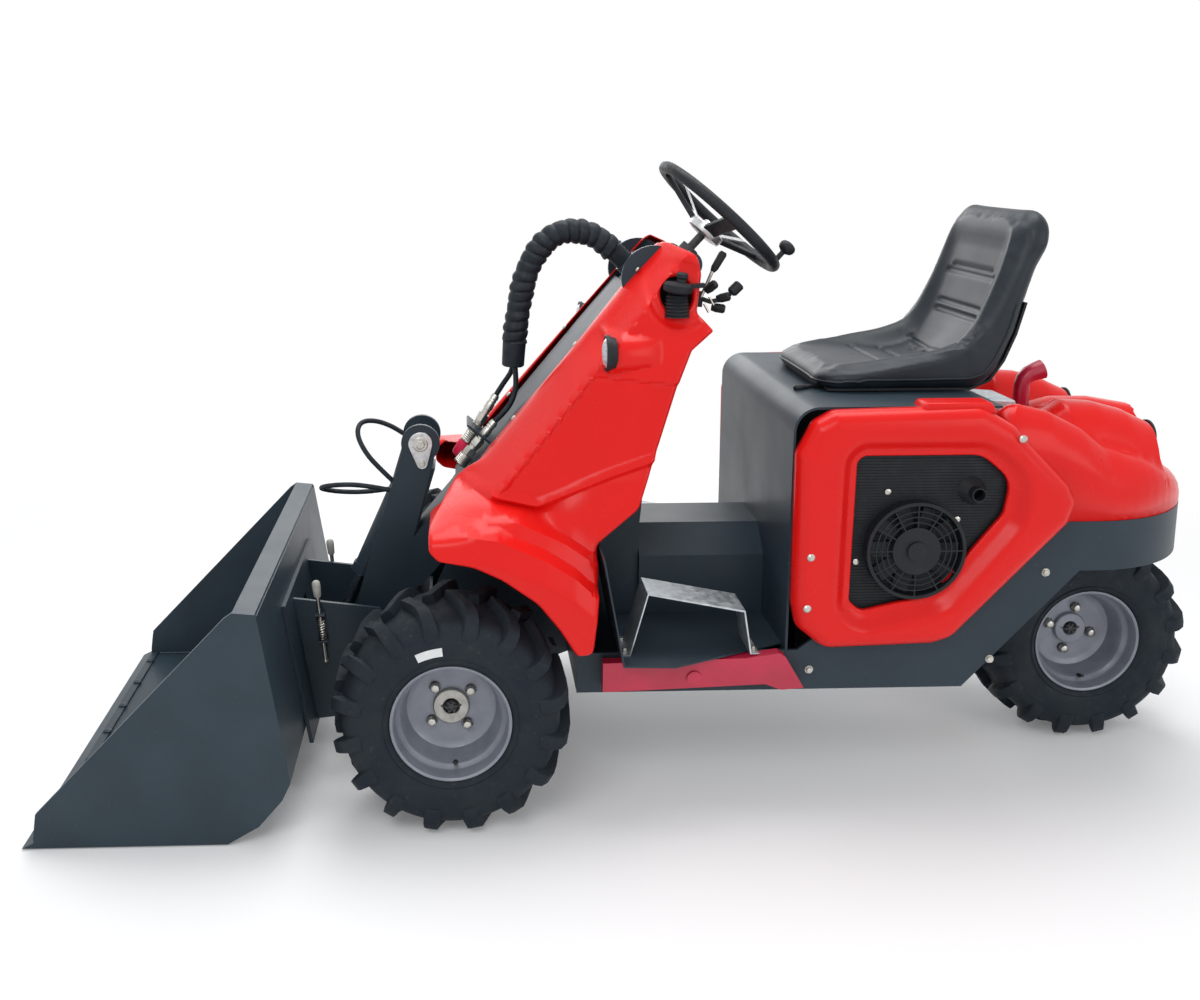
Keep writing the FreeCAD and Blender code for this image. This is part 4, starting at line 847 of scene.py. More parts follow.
def smooth_loop(points, steps):
    """Closed Catmull-Rom line."""
    result = []
    count = len(points)
    for i in range(count):
        a, b, c, d = (Vector(points[(i + k - 1) % count]) for k in range(4))
        for j in range(steps):
            t = j / steps
            p = .5 * (2 * b + (c - a) * t + (2 * a - 5 * b + 4 * c - d) * t * t + (3 * b - a - 3 * c + d) * t ** 3)
            result.append(p)
    return result


def seat_sink(along):
    """How deep the middle lies under the bolster, from the front to the top."""
    return line_value(along, [(0, .004), (.12, .006), (.24, .018), (.36, .036), (.44, .04), (.55, .022), (.75, .012),
                              (.9, .008), (1, 0)])


def corner_pull(y, radius):
    over = max(0, abs(y) - (seat_half - radius))
    return radius - math.sqrt(max(0, radius * radius - over * over))


def seat_body():
    """One piece: a raised bolster all round a sunken middle. Gives the mesh, the line of the driver's side and how
    far along it each of its points lies."""
    loop = smooth_loop(seat_profile, seat_steps)
    count = len(loop)
    first, last = face_start * seat_steps, face_end * seat_steps
    runs = [0]
    for i in range(first, last):
        runs.append(runs[-1] + (loop[i + 1] - loop[i]).length)
    edge = .03
    columns = [(-seat_half + edge) + (2 * seat_half - 2 * edge) * i / 40 for i in range(41)]
    places = [(y, 0) for y in columns]
    for a in (22, 42, 60, 75, 86):
        s, c = math.sin(math.radians(a)), 1 - math.cos(math.radians(a))
        places.append((seat_half - edge + edge * s, edge * c))
        places.insert(0, (-seat_half + edge - edge * s, edge * c))
    rows = []
    for y, inset in places:
        row = []
        for i, p in enumerate(loop):
            run = (loop[(i + 1) % count] - loop[i - 1]).normalized()
            normal = Vector((-run.y, run.x))
            share = 1 if normal.y > -.5 else .4
            q = p.copy()
            if first <= i <= last:
                along = runs[i - first] / runs[-1]
                near_end = min(along, 1 - along) * runs[-1]
                ring = smooth_step(seat_half - abs(y), .045, .105) * smooth_step(near_end, .015, .075)
                q += normal * seat_sink(along) * ring
                q -= normal * (.006 * math.exp(-((seat_half - abs(y) - .045) / .022) ** 2))
            q += normal * inset * share
            q.x -= corner_pull(y, .085) * smooth_step(q.x, -1.03, -.9)
            q.y -= corner_pull(y, .075) * smooth_step(q.y, 1.27, 1.43)
            row.append(at(q.x, y, q.y))
        rows.append(row)
    bm = bmesh.new()
    skin(bm, rows, ends=(1, -1))
    return solid_mesh(bm, "seat_cushion_cover", 60), loop[first:last + 1], runs


def puff(piece, voxel, cap, pressure=4.0, frames=20):
    """Blows the remeshed form up as cloth, moves no point further than the cap, and keeps the result."""
    bpy.context.view_layer.objects.active = piece
    remesh = piece.modifiers.new("remesh", "REMESH")
    remesh.mode = "VOXEL"
    remesh.voxel_size = voxel
    piece.data = evaluated_mesh(piece)
    piece.modifiers.clear()
    start = [v.co.copy() for v in piece.data.vertices]
    cloth = piece.modifiers.new("cloth", "CLOTH")
    cloth.settings.use_pressure = True
    cloth.settings.uniform_pressure_force = pressure
    cloth.settings.effector_weights.gravity = 0
    scene = bpy.context.scene
    for frame_number in range(1, frames + 1):
        scene.frame_set(frame_number)
    blown = piece.evaluated_get(bpy.context.evaluated_depsgraph_get()).data
    moved = [v.co.copy() for v in blown.vertices]
    piece.modifiers.clear()
    scene.frame_set(1)
    for v, a, b in zip(piece.data.vertices, start, moved):
        step = b - a
        if step.length > cap:
            step *= cap / step.length
        v.co = a + step
    piece.data.shade_smooth()


def seam_groove(piece, lines, face, runs, depth, width):
    """Presses sewn lines into the driver's side: each line is points of (share of the face, y)."""
    points = np.array([[p.x + front_axle_x, p.y] for p in face])
    for v in piece.data.vertices:
        gap = np.hypot(points[:, 0] - v.co.x, points[:, 1] - v.co.z)
        i = int(gap.argmin())
        if gap[i] > .06 or not 0 < i < len(face) - 1 or abs(v.co.y) > seat_half - .03:
            continue
        tangent = points[i + 1] - points[i - 1]
        if v.normal.z * tangent[0] > v.normal.x * tangent[1] and v.normal.z < .1:
            continue
        shift = ((v.co.x - points[i][0]) * tangent[0] + (v.co.z - points[i][1]) * tangent[1]) / np.hypot(*tangent)
        here = (runs[i] + shift, v.co.y)
        press = 0
        for line in lines:
            for (s0, y0), (s1, y1) in zip(line, line[1:]):
                a = np.array((s0 * runs[-1], y0))
                b = np.array((s1 * runs[-1], y1))
                t = min(1, max(0, float(np.dot(here - a, b - a) / np.dot(b - a, b - a))))
                d = float(np.hypot(*(here - (a + (b - a) * t))))
                press = max(press, math.exp(-(d / width) ** 2))
        if press > .01:
            v.co = v.co - v.normal * depth * press


def seat_seams():
    """Level seams, each at a share of the face and over a share of the seam's width, and the seat's pointed one."""
    half = .135
    level = ((.235, 1), (.35, .95), (.615, .9), (.65, .9), (.775, 1), (.8, .85))
    pointed = [[(.475, -half), (.462, 0), (.475, half)], [(.462, 0), (.435, -.045)], [(.462, 0), (.435, .045)]]
    return [[(along, -half * share), (along, half * share)] for along, share in level] + pointed


def seat():
    mesh, face, runs = seat_body()
    piece = bpy.data.objects.new("seat_cushion_cover", mesh)
    collection.objects.link(piece)
    puff(piece, voxel=.0068, cap=.006)
    piece.data.update()
    seam_groove(piece, seat_seams(), face, runs, depth=.008, width=.0052)
    piece.data.materials.clear()
    piece.data.materials.append(vinyl)
    smooth = piece.modifiers.new("smooth", "SUBSURF")
    smooth.levels = smooth.render_levels = 1
    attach(piece, "root")
    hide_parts("seat_cushion")


# --- body shells, red

boom_pivot = Vector((-.505, 1.262))
boom_lean = math.radians(50.7)
strip_edge = .0435  # height of the fairing's edge over the boom's line


def below_boom_edge(x, z):
    """Distance of a point under the fairing's edge beside the boom."""
    up = (x - boom_pivot.x) * math.sin(boom_lean) + (z - boom_pivot.y) * math.cos(boom_lean)
    return strip_edge - up


# Outlines are corners of (x, z), each with the radius that it is rounded to. The lines of the folds are (x, z).
fairing_outline = [(-.512, 1.343, .03), (-.535, 1.352, .02), (-.591, 1.327, .03), (-.603, 1.28, .03),
                   (-.59, 1.19, .02), (-.628, 1.15, .006), (-.575, 1.104, .012), (-.543, 1.026, .06),
                   (-.484, .85, .02), (-.446, .737, .05), (-.345, .657, .02), (-.343, .595, .02), (-.325, .44, .02),
                   (-.288, .436, .018), (-.248, .499, .1), (-.198, .562, .1), (-.118, .619, .1), (-.053, .65, .1),
                   (.026, .665, .03), (.047, .685, .02), (.048, .722, .02), (.006, .757, .02), (-.085, .826, .06)]
upper_crease = [(-.48, .852), (-.373, .816), (-.205, .748), (-.11, .77), (.06, .8)]
fender_ridge = [(-.35, .624), (-.343, .629), (-.265, .684), (-.161, .734), (-.09, .744), (.05, .748)]
fender_step = [(-.344, .566), (-.286, .621), (-.219, .664), (-.107, .714), (-.021, .725), (.05, .726)]
side_lean = [(.4, .35), (.8, .35), (.89, .338), (.99, .32), (1.13, .293), (1.27, .262), (1.4, .228)]
band_half = .146  # of the slot between the fairings
chamfer_slope, chamfer_reach = 2.6, .048  # beside the boom
lamp_front, lamp_height, tail_lamp_height = -.377, 1.104, .868


def lamp_bulge(x, z):
    """Teardrop cover that runs back from the headlamp."""
    back = (lamp_front - x) / .125
    up = (z - lamp_height) / (.047 * (1 - .35 * max(0, back)))
    if back < 0 or back > 1 or abs(up) > 1:
        return 0
    return .036 * math.sqrt(1 - up * up) * (1 - back ** 2.2)


def fairing_height(x, z, rim, hole):
    """Distance from the middle plane: the wall above the crease, the fender's steps under it, then what is set in."""
    side = line_value(z, side_lean)
    crease, ridge, step = (line_value(x, line) for line in (upper_crease, fender_ridge, fender_step))
    flare = [(0, .514), (step - .06, .51), (step - .006, .492), (step + .008, .446), (ridge - .006, .43),
             (ridge + .008, .39), (crease - .014, side - .008), (crease - .002, side + .005), (crease + .012, side)]
    y = line_value(z, sorted(flare)) if z < crease else side
    front = below_boom_edge(x, z)
    y -= chamfer_slope * max(0, chamfer_reach - front) * smooth_step(z, .7, .8)
    # the field between the chamfer and the crease, a little sunken
    y -= .01 * smooth_step(front, .05, .062) * smooth_step(1.052 - z + .1 * (x + .33), 0, .012) \
        * smooth_step(z - crease, 0, .02)
    # the dish round the joystick
    y -= .012 * smooth_step(.085 - math.hypot(x + .548, (z - 1.235) * .95), 0, .02)
    # the seat in front of the headlamp's cover
    hollow = smooth_step(.04 - abs(z - lamp_height), 0, .03) * smooth_step(x, lamp_front - .002, lamp_front)
    return y + lamp_bulge(x, z) - .012 * hollow * smooth_step(-.33 - x, 0, .04)


def fairing_edge(x, z):
    """How near the middle plane the fairing's rim goes, less at the nose."""
    return band_half + .16 * smooth_step(x, -.1, -.01)


def oval(centre, wide, high, steps=24, lean=0):
    result = []
    for a in turns(steps):
        p, q = wide * math.cos(a), high * math.sin(a)
        result.append((centre[0] + p * math.cos(lean) - q * math.sin(lean),
                       centre[1] + p * math.sin(lean) + q * math.cos(lean)))
    return result


joystick_pocket = oval((-.541, 1.232), .038, .043, lean=-.3)


def fold_rows(outline):
    """Rows of points along the fairing's folds, kept off its rim."""
    rows = []
    for line, first, shifts in ((upper_crease, -.47, (.012, -.002, -.014)), (fender_ridge, -.335, (.008, -.006)),
                                (fender_step, -.335, (.008, -.006))):
        for shift in shifts:
            row = [(first + i * .0075, line_value(first + i * .0075, line) + shift) for i in range(68)]
            clear = inside(row, outline) & (distances(row, outline) > .017)
            rows.append([point for point, keep in zip(row, clear) if keep and point[0] < .03])
    return rows


def fairings():
    """The left one has the joystick's pocket."""
    outline = rounded_loop(fairing_outline, .02)
    cliff = [(lamp_front, lamp_height - .045 + .006 * i) for i in range(16)]
    creases = [cliff, [(x - .0015, z) for x, z in cliff]] + fold_rows(outline)
    for (name, side), holes in zip(sides, ((joystick_pocket,), ())):
        relief("fairing_" + name, outline, fairing_height, .0075, on_side(side), .012, fairing_edge, holes, .01, .16,
               creases)


panel_outline = [(-.802, .88, .03), (-.838, .955, .04), (-.885, .981, .05), (-1.231, .989, .05), (-1.312, .942, .05),
                 (-1.347, .902, .05), (-1.448, .8, .04), (-1.468, .76, .03), (-1.452, .708, .04),
                 (-1.189, .428, .06), (-1.143, .414, .04), (-.883, .406, .06), (-.817, .46, .04), (-.805, .518, .05)]
panel_window = [(-.946, .86, .02), (-.962, .873, .02), (-1.24, .873, .07), (-1.312, .812, .06), (-1.3, .73, .05),
                (-1.143, .535, .06), (-.971, .495, .03), (-.942, .52, .02)]
panel_back = .3815


def panel_height(x, z, rim, hole):
    """The band stands out and slopes in towards the window, past a crease."""
    slope = .03 * smooth_step(.052 - hole, 0, .046)
    bulge = .006 * smooth_step(rim, 0, .05)
    return .428 + bulge - slope


def side_panels():
    outline, window = rounded_loop(panel_outline, .03), rounded_loop(panel_window, .03)
    for name, side in sides:
        relief("side_panel_" + name, outline, panel_height, .009, on_side(side), .03, lambda x, z: panel_back,
               (window,), .006, .39)


hood_front, hood_half, hood_back = -1.3005, .3795, .7025
tail, tail_radius = -1.8845, .3395
pod_rear, pod_middle = -1.735, .205
tongue_rear = -1.815


def hood_outline():
    """Plan of the hood, with a round tail."""
    loop = [(hood_front, -hood_half), (hood_front, hood_half), (tail + tail_radius, hood_half)]
    steps = 16
    for i in range(1, steps):
        a = math.pi / 2 * i / steps
        loop.append((tail + tail_radius * (1 - math.sin(a)), hood_half - tail_radius * (1 - math.cos(a))))
    loop.append((tail, hood_half - tail_radius))
    return loop + [(x, -y) for x, y in reversed(loop[3:])] + [(tail + tail_radius, -hood_half)]


def soft_top(a, b, blend=.01):
    """The higher of two heights, with a small fillet where they meet."""
    near = max(0, blend - abs(a - b))
    return max(a, b) + near * near / (4 * blend)


def hood_height(x, y, rim, hole):
    """Shoulders that run down to the tail, two lamp pods inside them, a valley and a middle tongue."""
    off = abs(y)
    shoulder = line_value(x, [(-1.86, .765), (-1.8, .79), (-1.72, .815), (-1.64, .838), (-1.571, .862),
                              (-1.513, .906), (-1.427, .95), (-1.351, .968), (-1.3, .968)])
    rim_top = shoulder + .01 - .05 * smooth_step(off, .315, .4)
    valley = shoulder - .055 * smooth_step(x, -1.6, -1.45)
    base = valley + (rim_top - valley) * smooth_step(off, .17, .33)
    pod_top = line_value(x, [(pod_rear, .906), (-1.704, .92), (-1.669, .937), (-1.595, .957), (-1.515, .962),
                             (-1.44, .91), (-1.3, .86)])
    across = abs(off - pod_middle) / .088
    pod = pod_top - .075 * across ** 2.6
    pod -= .3 * smooth_step(pod_rear - x, -.002, .012)
    tongue_top = line_value(x, [(tongue_rear, .905), (-1.7, .925), (-1.6, .925), (-1.5, .9)])
    tongue = tongue_top - .09 * (off / .075) ** 3 if x > tongue_rear and off < .095 and x < -1.5 else 0
    return soft_top(soft_top(base, pod), tongue)


def rear_hood():
    rows = [[(pod_rear + shift, side * y / 100) for y in range(-32, -9)]
            for shift in (.002, -.005, -.012) for side in (1, -1)]
    rows += [[(tongue_rear + shift, y / 100) for y in range(-9, 10)] for shift in (0, -.002)]
    relief("rear_hood", hood_outline(), hood_height, .009, at, .055, lambda x, y: hood_back, creases=rows)


# --- boom, hoses


def on_boom(along, up, y=0):
    """Place given along the boom from its pivot, square to it, and across the machine."""
    x = boom_pivot.x + along * math.cos(boom_lean) + up * math.sin(boom_lean)
    z = boom_pivot.y - along * math.sin(boom_lean) + up * math.cos(boom_lean)
    return at(x, y, z)


boom_down = Vector((math.cos(boom_lean), 0, -math.sin(boom_lean)))
boom_out = Vector((math.sin(boom_lean), 0, math.cos(boom_lean)))
wrap_step, wrap_sides = .002, 28


def spline_points(curve):
    """Points along a cord's own line."""
    bare = curve.copy()
    bare.data = curve.data.copy()
    bare.data.bevel_depth = 0
    collection.objects.link(bare)
    points = [v.co.copy() for v in evaluated_mesh(bare).vertices]
    bpy.data.objects.remove(bare)
    return points


def evenly(points, spacing):
    result = [points[0].copy()]
    rest = spacing
    for a, b in zip(points, points[1:]):
        length = (b - a).length
        while length >= rest:
            a = a + (b - a).normalized() * rest
            result.append(a.copy())
            length = (b - a).length
            rest = spacing
        rest -= length
    return result


def spiral_wrap(curve, radius, pitch, start, end):
    """Puffed strip wound round a hose, then a smooth sleeve at its end."""
    points = evenly(spline_points(curve), wrap_step)
    first, last = int(start / wrap_step), int(len(points) - end / wrap_step)
    rings = []
    for i in range(first, last):
        up = left.cross(heading(points, i)).normalized()
        wobble = .0012 * math.sin(i * .11) + .0008 * math.sin(i * .37 + 1)
        ring = []
        for k, a in enumerate(turns(wrap_sides)):
            phase = ((i - first) * wrap_step / pitch + k / wrap_sides) % 1
            size = radius + .0008 + (.0055 + wobble) * abs(math.sin(math.pi * phase)) ** .45
            ring.append(points[i] + around(left, up, a) * size)
        rings.append(ring)
    bm = bmesh.new()
    skin(bm, rings)
    add_form(bm, "bundle_wrap", 50, "boom", hose_black)
    bm = bmesh.new()
    run = points[last - 2:len(points) - 1]
    sweep(bm, run, [radius + .0045 - .0015 * i / len(run) for i in range(len(run))], wrap_sides)
    add_form(bm, "bundle_sleeve", 50, "boom", hose_black)


def coupling(bm, start, along, length, cap):
    """Hydraulic quick coupling: crimped ferrule, hexes, knurled sleeve."""
    body = [(0, .0095), (.012, .0118), (.014, .0095), (.02, .0118), (.022, .0095), (.028, .0118), (.045, .0118),
            (.046, .01), (.06, .01)]
    lathe(bm, start, along, body, 24)
    lathe(bm, start + along * .06, along, [(0, .0158), (.022, .0158), (.024, .014)], 6)
    lathe(bm, start + along * .083, along, [(0, .0125), (.01, .0125)], 24)
    lathe(bm, start + along * .093, along, [(0, .0172), (.018, .0172), (.02, .0155)], 6, .3)
    rest = length - .113 - cap
    sleeve = [(0, .015), (.002, .019)]
    for i in range(5):
        z = .004 + (rest - .01) * i / 5
        sleeve += [(z, .019), (z + .002, .0175), (z + .004, .019)]
    sleeve += [(rest - .003, .019), (rest, .0165)]
    lathe(bm, start + along * .113, along, sleeve, 28)


def couplings():
    high, low = at(-.12, -.02, .938), at(-.115, .028, .877)
    high_run = Vector((.523, 0, -.852)).normalized()
    bm = bmesh.new()
    coupling(bm, high, high_run, .195, .045)
    coupling(bm, low, boom_down, .15, .004)
    add_form(bm, "couplings", 30, "boom", zinc, ("hydraulic_couplers",))
    bm = bmesh.new()
    cap = [(0, .019), (.003, .0215), (.036, .0215), (.041, .0195), (.044, .015)]
    lathe(bm, high + high_run * .15, high_run, cap, 28)
    add_form(bm, "dust_cap", 40, "boom", cap_red)
    bm = bmesh.new()
    plate = [(.59, .0375), (.596, .0375), (.596, .112), (.59, .112)]
    skin(bm, [[on_boom(along, up, y) for along, up in plate] for y in (-.052, .06)])
    bevel(add_form(bm, "coupling_bracket", 30, "boom", slate), .0015)


def arm_lock_plates():
    """Teardrop steel plates over the arm's head pin, with their bolts."""
    x, z = .078, .827
    outline = arc(x, z, .031, -20, 220, 24) + arc(x - .004, z - .052, .0145, 200, 140, 12)
    for name, side in sides:
        bm = bmesh.new()
        prism(bm, outline, side * .0628, side * .068)
        bevel(add_form(bm, "arm_plate_" + name, 30, "boom", pale_steel), .0012)
        bm = bmesh.new()
        out = (0, side, 0)
        lathe(bm, at(x, side * .068, z), out, [(0, .019), (.003, .019), (.004, .0175)], 28)
        lathe(bm, at(x, side * .072, z), out, [(0, .011), (.003, .011), (.0045, .0095)], 24)
        hexagon_bolt(bm, at(x - .004, side * .068, z - .052), out, .013)
        add_form(bm, "arm_plate_bolts_" + name, 30, "boom", zinc)


def band_bolts():
    """Small button heads along the fairings' edges beside the band."""
    bm = bmesh.new()
    for along in (.01, .25, .49, .7):
        for side in (1, -1):
            lathe(bm, on_boom(along, .04, side * band_half) + boom_out * .006, boom_out,
                  [(0, .0075), (.002, .0075), (.0045, .005), (.005, .002)], 16)
    add_form(bm, "band_bolts", 40, "root", zinc)


# --- lamps


def lamps():
    """Round headlamps in the fairings' seats, and dark lamps in the rear pods."""
    forward, back = Vector((1, 0, 0)), Vector((-1, 0, 0))
    shells, glasses, rings = bmesh.new(), bmesh.new(), bmesh.new()
    for side in (1, -1):
        seat_at = at(lamp_front - .016, side * .316, lamp_height)
        lathe(shells, seat_at, forward, [(0, .026), (.004, .036), (.02, .041), (.024, .041), (.024, .037)], 36)
        lathe(glasses, seat_at + forward * .0235, forward, [(0, .0365), (.004, .034), (.009, .026), (.012, .013),
                                                            (.0128, .002)], 36)
        ring = [(.018, .04), (.018, .043), (.026, .043), (.028, .041), (.026, .0375)]
        ring_lathe(rings, seat_at, forward, ring, 40)
        tail_at = at(pod_rear - .006, side * pod_middle, tail_lamp_height)
        lathe(rings, tail_at, back, [(0, .04), (.006, .04), (.008, .037)], 36)
    add_form(shells, "headlamp_cups", 40, "root", plastic, ("lamps",))
    add_form(glasses, "headlamp_glass", 60, "root", lens)
    add_form(rings, "lamp_rings", 40, "root", plastic)
    bm = bmesh.new()
    for side in (1, -1):
        lathe(bm, at(pod_rear - .013, side * pod_middle, tail_lamp_height), back,
              [(0, .0345), (.002, .034), (.006, .028), (.009, .016), (.01, .002)], 36)
    add_form(bm, "tail_lamps", 60, "root", tail_lens)


# --- side panels

bar_count, bar_half = 52, .0011
bar_low, bar_high = .505, .868


def window_screens():
    """Fine level bars over the dark sheet behind each window."""
    bm = bmesh.new()
    window = rounded_loop(panel_window, .03)
    for k in range(bar_count):
        z = bar_low + (bar_high - bar_low) * k / (bar_count - 1)
        crossings = sorted(x0 + (z - z0) * (x1 - x0) / (z1 - z0)
                           for (x0, z0), (x1, z1) in zip(window, window[1:] + window[:1]) if (z0 > z) != (z1 > z))
        if len(crossings) < 2:
            continue
        front, rear = crossings[0], crossings[-1]
        for _, side in sides:
            prism(bm, [(front, z - bar_half), (rear, z - bar_half), (rear, z + bar_half), (front, z + bar_half)],
                  side * .3842, side * .3862)
    add_form(bm, "window_bars", 30, "root", plastic)


def body_bolts():
    """Screws of the fan, panels, hood and frame that show."""
    bm = bmesh.new()
    for x, z in ((-1.027, .782), (-1.196, .713), (-.959, .612)):
        lathe(bm, at(x, .3862, z), left, [(0, .0075), (.002, .0075), (.0035, .005)], 16)
    for side in (1, -1):
        for x, z in ((-1.422, .577), (-1.3, .36), (-.86, .34)):
            hexagon_bolt(bm, at(x, side * .3802, z), (0, side, 0), .014)
        for x, z, y in ((-1.318, .918, .432), (-.834, .514, .431), (-.838, .639, .431)):
            lathe(bm, at(x, side * y, z), (0, side, 0), [(0, .0095), (.002, .0095), (.005, .006)], 18)
    add_form(bm, "body_bolts", 35, "root", zinc)


def panel_lips():
    """Raised strip on the panels' top edge, beside the seat."""
    for name, side in sides:
        bm = bmesh.new()
        prism(bm, [(-1.084, .972), (-1.098, .9985), (-1.254, .9985), (-1.268, .972)], side * .345, side * .408)
        bevel(add_form(bm, "panel_lip_" + name, 30, "root", red), .006, 3)


# --- steering and controls

wheel_tilt = math.radians(42.4)
wheel_axis = Vector((-math.sin(wheel_tilt), 0, math.cos(wheel_tilt)))
wheel_across = Vector((math.cos(wheel_tilt), 0, math.sin(wheel_tilt)))
wheel_centre = (-.6925, 0, 1.4045)
wheel_radius = .188
spoke_turns = (90, 210, 330)


def wheel_out(turn):
    a = math.radians(turn)
    return wheel_across * math.cos(a) + Vector((0, math.sin(a), 0))


def steering_wheel():
    centre = at(*wheel_centre)
    hub = centre - wheel_axis * .052
    bm = bmesh.new()
    section = [(.015 * math.cos(a), wheel_radius + .015 * math.sin(a)) for a in turns(16)]
    ring_lathe(bm, centre, wheel_axis, section, 80)
    knob = centre + wheel_out(150) * wheel_radius
    lathe(bm, knob, wheel_axis, [(0, .0075), (.034, .0065), (.036, .01), (.04, .0175), (.047, .0215), (.055, .0215),
                                 (.061, .0175), (.0645, .009)], 28)
    add_form(bm, "steering_rim", 40, "steering_wheel", plastic, ("steering_wheel",))
    bm = bmesh.new()
    for turn in spoke_turns:
        out = wheel_out(turn)
        bar_between(bm, hub + out * .02, centre - wheel_axis * .002 + out * (wheel_radius - .006), .04, .014,
                    wheel_axis)
    bevel(add_form(bm, "steering_spokes", 30, "steering_wheel", plastic), .003, 3)
    bm = bmesh.new()
    for turn in spoke_turns:
        out = wheel_out(turn)
        bar_between(bm, hub + out * .03 + wheel_axis * .01, centre + wheel_axis * .004 + out * .12, .024, .004,
                    wheel_axis)
    lathe(bm, hub - wheel_axis * .012, wheel_axis, [(0, .034), (.004, .048), (.0095, .05), (.024, .05),
                                                    (.026, .048)], 40)
    lathe(bm, hub + wheel_axis * .014, wheel_axis, [(0, .022), (.01, .022), (.012, .02)], 6)
    add_form(bm, "steering_hub", 35, "steering_wheel", pale_steel)


def joystick():
    """Bellows boot, flat head and thumb switch."""
    centre = at(-.541, .262, 1.182)
    bm = bmesh.new()
    boot = []
    for i in range(7):
        z = .008 * i
        boot += [(z, .032 - .0008 * i), (z + .004, .0285 - .001 * i)]
    lathe(bm, centre, upward, boot, 28)
    lean = Vector((-.12, .02, 1)).normalized()
    head = centre + upward * .054
    lathe(bm, head, lean, [(0, .021), (.006, .033), (.01, .035), (.022, .035), (.027, .031), (.029, .02)], 32)
    lathe(bm, head + lean * .028 + Vector((-.006, 0, 0)), lean, [(0, .012), (.008, .011), (.012, .014), (.02, .014),
                                                                 (.024, .01)], 24)
    bar_between(bm, head + lean * .016, head + lean * .018 + Vector((-.062, .004, .004)), .022, .01, upward)
    add_form(bm, "joystick_grip", 35, "root", plastic, ("joystick",))


def control_levers():
    """Throttle, a flat plate and black knobs with pale links, on the left of the column."""
    y = .118
    bm = bmesh.new()
    bar_between(bm, at(-.545, y, 1.212), at(-.632, y, 1.206), .04, .006, left)
    lathe(bm, at(-.655, y, 1.275), (-.49, 0, .87), [(0, .006), (.01, .0095), (.05, .0105), (.056, .007)], 20)
    for x, z, turn in ((-.64, 1.226, 0), (-.668, 1.206, .5), (-.655, 1.186, 1)):
        lathe(bm, at(x, y, z), (-.5 - turn * .3, .3, .5 - turn * .6), [(0, .009), (.012, .0115), (.03, .0115),
                                                                       (.034, .008)], 18)
    sweep(bm, [at(-.632, y, 1.206), at(-.65, y + .004, 1.2), at(-.69, y + .004, 1.208), at(-.706, y, 1.226)],
          .006, 10)
    lathe(bm, at(-.702, y, 1.22), (-.5, 0, .5), [(0, .009), (.006, .014), (.03, .014), (.034, .01)], 20)
    add_form(bm, "lever_knobs", 35, "root", plastic, ("control_levers",))
    bm = bmesh.new()
    sweep(bm, [at(-.628, y, 1.212), at(-.64, y, 1.24), at(-.655, y, 1.277)], .0045, 12)
    for x, z in ((-.634, 1.196), (-.646, 1.214)):
        sweep(bm, [at(x, y + .008, z), at(x - .012, y + .01, z - .022)], .003, 8)
    add_form(bm, "lever_links", 40, "root", zinc)


# --- quick coupler


def lock_levers():
    """Pale grip, rod through a bent bracket, and a coil spring, on both sides."""
    for name, side in sides:
        y = side * .162
        low, high = at(.323, y, .284), at(.343, y, .492)
        run, across, up = frame_along(high - low)
        bm = bmesh.new()
        sweep(bm, [low, high - run * .03], .0055, 12)
        lathe(bm, low + run * .112, run, [(0, .012), (.003, .012)], 16)
        lathe(bm, low - run * .002, run, [(0, .008), (.006, .008)], 12)
        coil = [low + run * (.058 + .052 * i / 120) + around(across, up, 2 * math.pi * i / 15) * .0095
                for i in range(121)]
        sweep(bm, coil, .0016, 6)
        add_form(bm, "lock_rod_" + name, 40, "coupler", zinc, ("lock_levers",) if side > 0 else ())
        bm = bmesh.new()
        lathe(bm, high - run * .038, run, [(0, .007), (.004, .0095), (.03, .011), (.04, .01), (.044, .006)], 20)
        add_form(bm, "lock_grip_" + name, 40, "coupler", pale_grip)
        bm = bmesh.new()
        for share in (.055, .125):
            here = low + run * share
            bar_between(bm, Vector((here.x, side * .1505, here.z)), Vector((here.x, side * .174, here.z)), .026, .005,
                        upward)
        bevel(add_form(bm, "lock_bracket_" + name, 30, "coupler", slate), .0012)


def seat_piping():
    """Welt round the cushion's lower edge, and the slider's lever under it."""
    cover = bpy.data.objects["seat_cushion_cover"]
    tree = bvhtree.BVHTree.FromObject(cover, bpy.context.evaluated_depsgraph_get())
    side_run = [(-1.392, 1.2), (-1.378, 1.14), (-1.352, 1.078), (-1.318, 1.03), (-1.27, 1.012), (-1.15, 1.009),
                (-1.03, 1.009), (-.96, 1.009)]
    guide = [at(x, .26, z) for x, z in side_run]
    guide += [at(-.915, .205, 1.008), at(-.9, .15, 1.008), at(-.893, .08, 1.008)]
    guide += [at(-.892, 0, 1.008)] + [Vector((p.x, -p.y, p.z)) for p in guide[::-1]]
    path = []
    for a, b in zip(guide, guide[1:]):
        for i in range(8):
            place = a.lerp(b, i / 8)
            found = tree.find_nearest(place)
            path.append(found[0] + found[1] * .0006)
    bm = bmesh.new()
    sweep(bm, path, .0032, 8)
    add_form(bm, "seat_piping", 60, "root", vinyl)
    bm = bmesh.new()
    sweep(bm, [at(-.96, .15, .989), at(-.905, .156, .991), at(-.88, .17, .99)], .005, 10)
    lathe(bm, at(-.884, .166, .99), (1, .5, 0), [(0, .006), (.006, .008), (.028, .008), (.032, .005)], 14)
    add_form(bm, "seat_slider_lever", 40, "root", plastic)


# --- fine metalwork


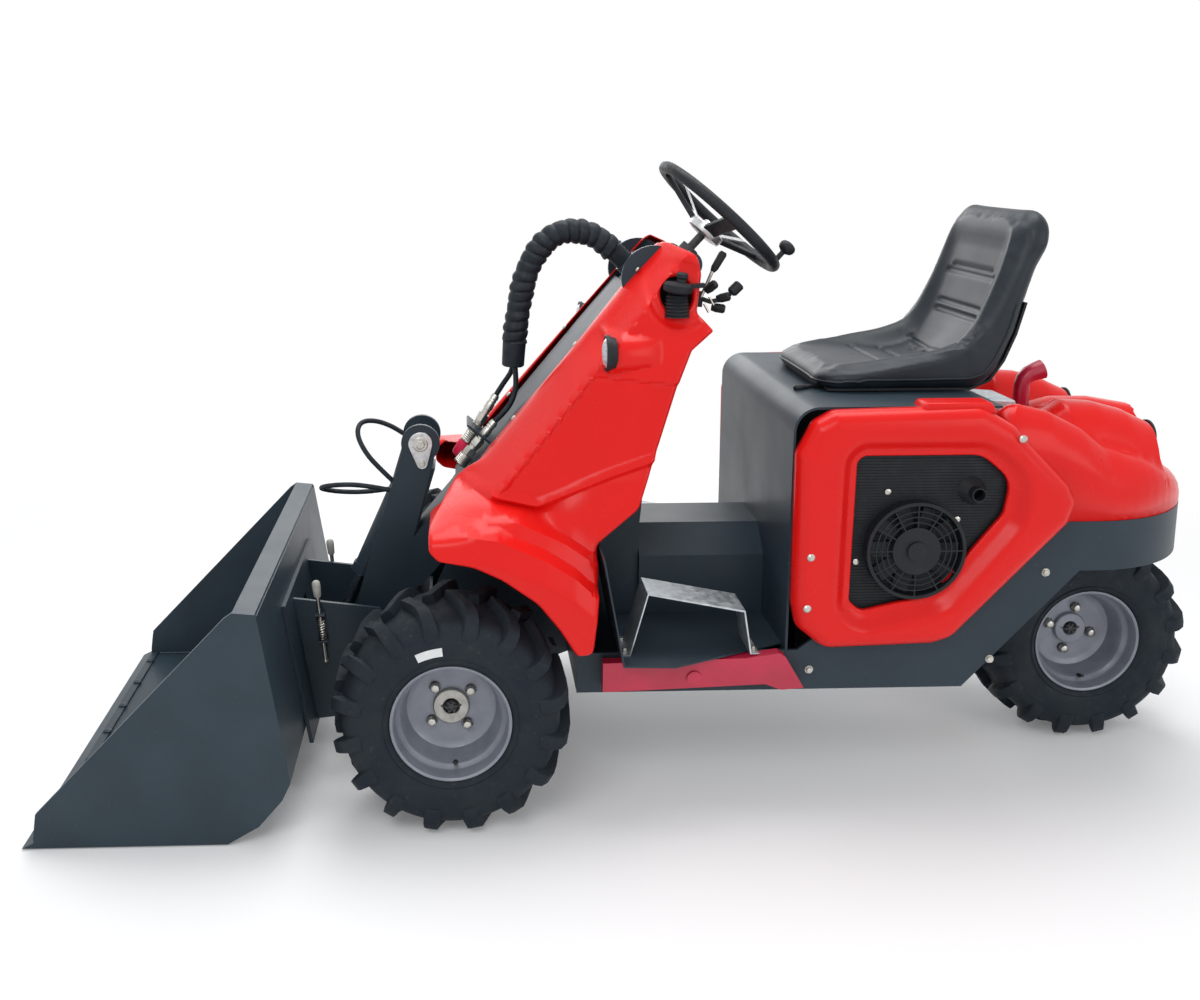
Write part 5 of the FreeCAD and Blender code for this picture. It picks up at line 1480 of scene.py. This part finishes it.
def bucket_trim():
    """Bolts of the cutting edge, and weld beads inside the cheeks."""
    bm = bmesh.new()
    for i in range(7):
        y = -.45 + .15 * i
        lathe(bm, at(.938, y, .018), (0, 0, 1), [(0, .012), (.003, .012), (.006, .007)], 16)
    add_form(bm, "edge_bolts", 35, "coupler", bucket_slate)
    bm = bmesh.new()
    for side in (1, -1):
        y = side * .513
        path = [at(x, y, z) for x, z in ((.925, .014), (.7, .014), (.52, .015), (.452, .055), (.398, .118),
                                         (.383, .158), (.384, .205), (.412, .37), (.44, .535))]
        fine = []
        for a, b in zip(path, path[1:]):
            steps = max(2, int((b - a).length / .006))
            fine += [a.lerp(b, i / steps) for i in range(steps)]
        sweep(bm, fine, [.0042 + .0012 * math.sin(i * 1.9) for i in range(len(fine))], 8)
    add_form(bm, "bucket_welds", 60, "coupler", bucket_slate)


def step_details():
    """Bolts through the steps' feet."""
    bm = bmesh.new()
    for side in (1, -1):
        for x, z in ((-.413, .4), (-.721, .4)):
            for y in (.325, .385):
                hexagon_bolt(bm, at(x, side * y, z - .0025), (0, 0, 1), .012)
    add_form(bm, "step_bolts", 35, "root", zinc)


def exhaust():
    """Short open stack whose mouth leans back."""
    run = [at(x, .02, z) for x, z in ((-1.508, .86), (-1.508, .93), (-1.508, .962), (-1.512, .978), (-1.524, .99),
                                       (-1.542, .998), (-1.56, 1.004))]
    outer = [.02, .02, .02, .0208, .022, .0238, .0258]
    inner = [.008, .008, .01, .015, .019, .022, .0246]
    rings = []
    for path, sizes, side in ((run, outer, 1), (run[::-1], inner[::-1], -1)):
        for i, place in enumerate(path):
            up = left.cross(heading(path, i)) * side
            rings.append([place + around(left, up, a) * sizes[i] for a in turns(32)])
    bm = bmesh.new()
    skin(bm, rings)
    add_form(bm, "exhaust_stack", 40, "root", crimson, ("exhaust_pipe",))


def hood_fittings():
    """Grey sheet box in the hood's valley."""
    bm = bmesh.new()
    prism(bm, [(-1.318, .905), (-1.318, .968), (-1.4, .962), (-1.412, .905)], .085, .215)
    bevel(add_form(bm, "valley_box", 30, "root", galvanised), .004)


studio()
dress_frame()
hang_hoses()
fairings()
side_panels()
rear_hood()
wheels()
seat()
seat_piping()
spiral_wrap(bpy.data.objects["hose_bundle_line"], radius=.026, pitch=.026, start=.04, end=.062)
couplings()
arm_lock_plates()
band_bolts()
lamps()
window_screens()
body_bolts()
panel_lips()
steering_wheel()
joystick()
control_levers()
lock_levers()
bucket_trim()
step_details()
exhaust()
hood_fittings()
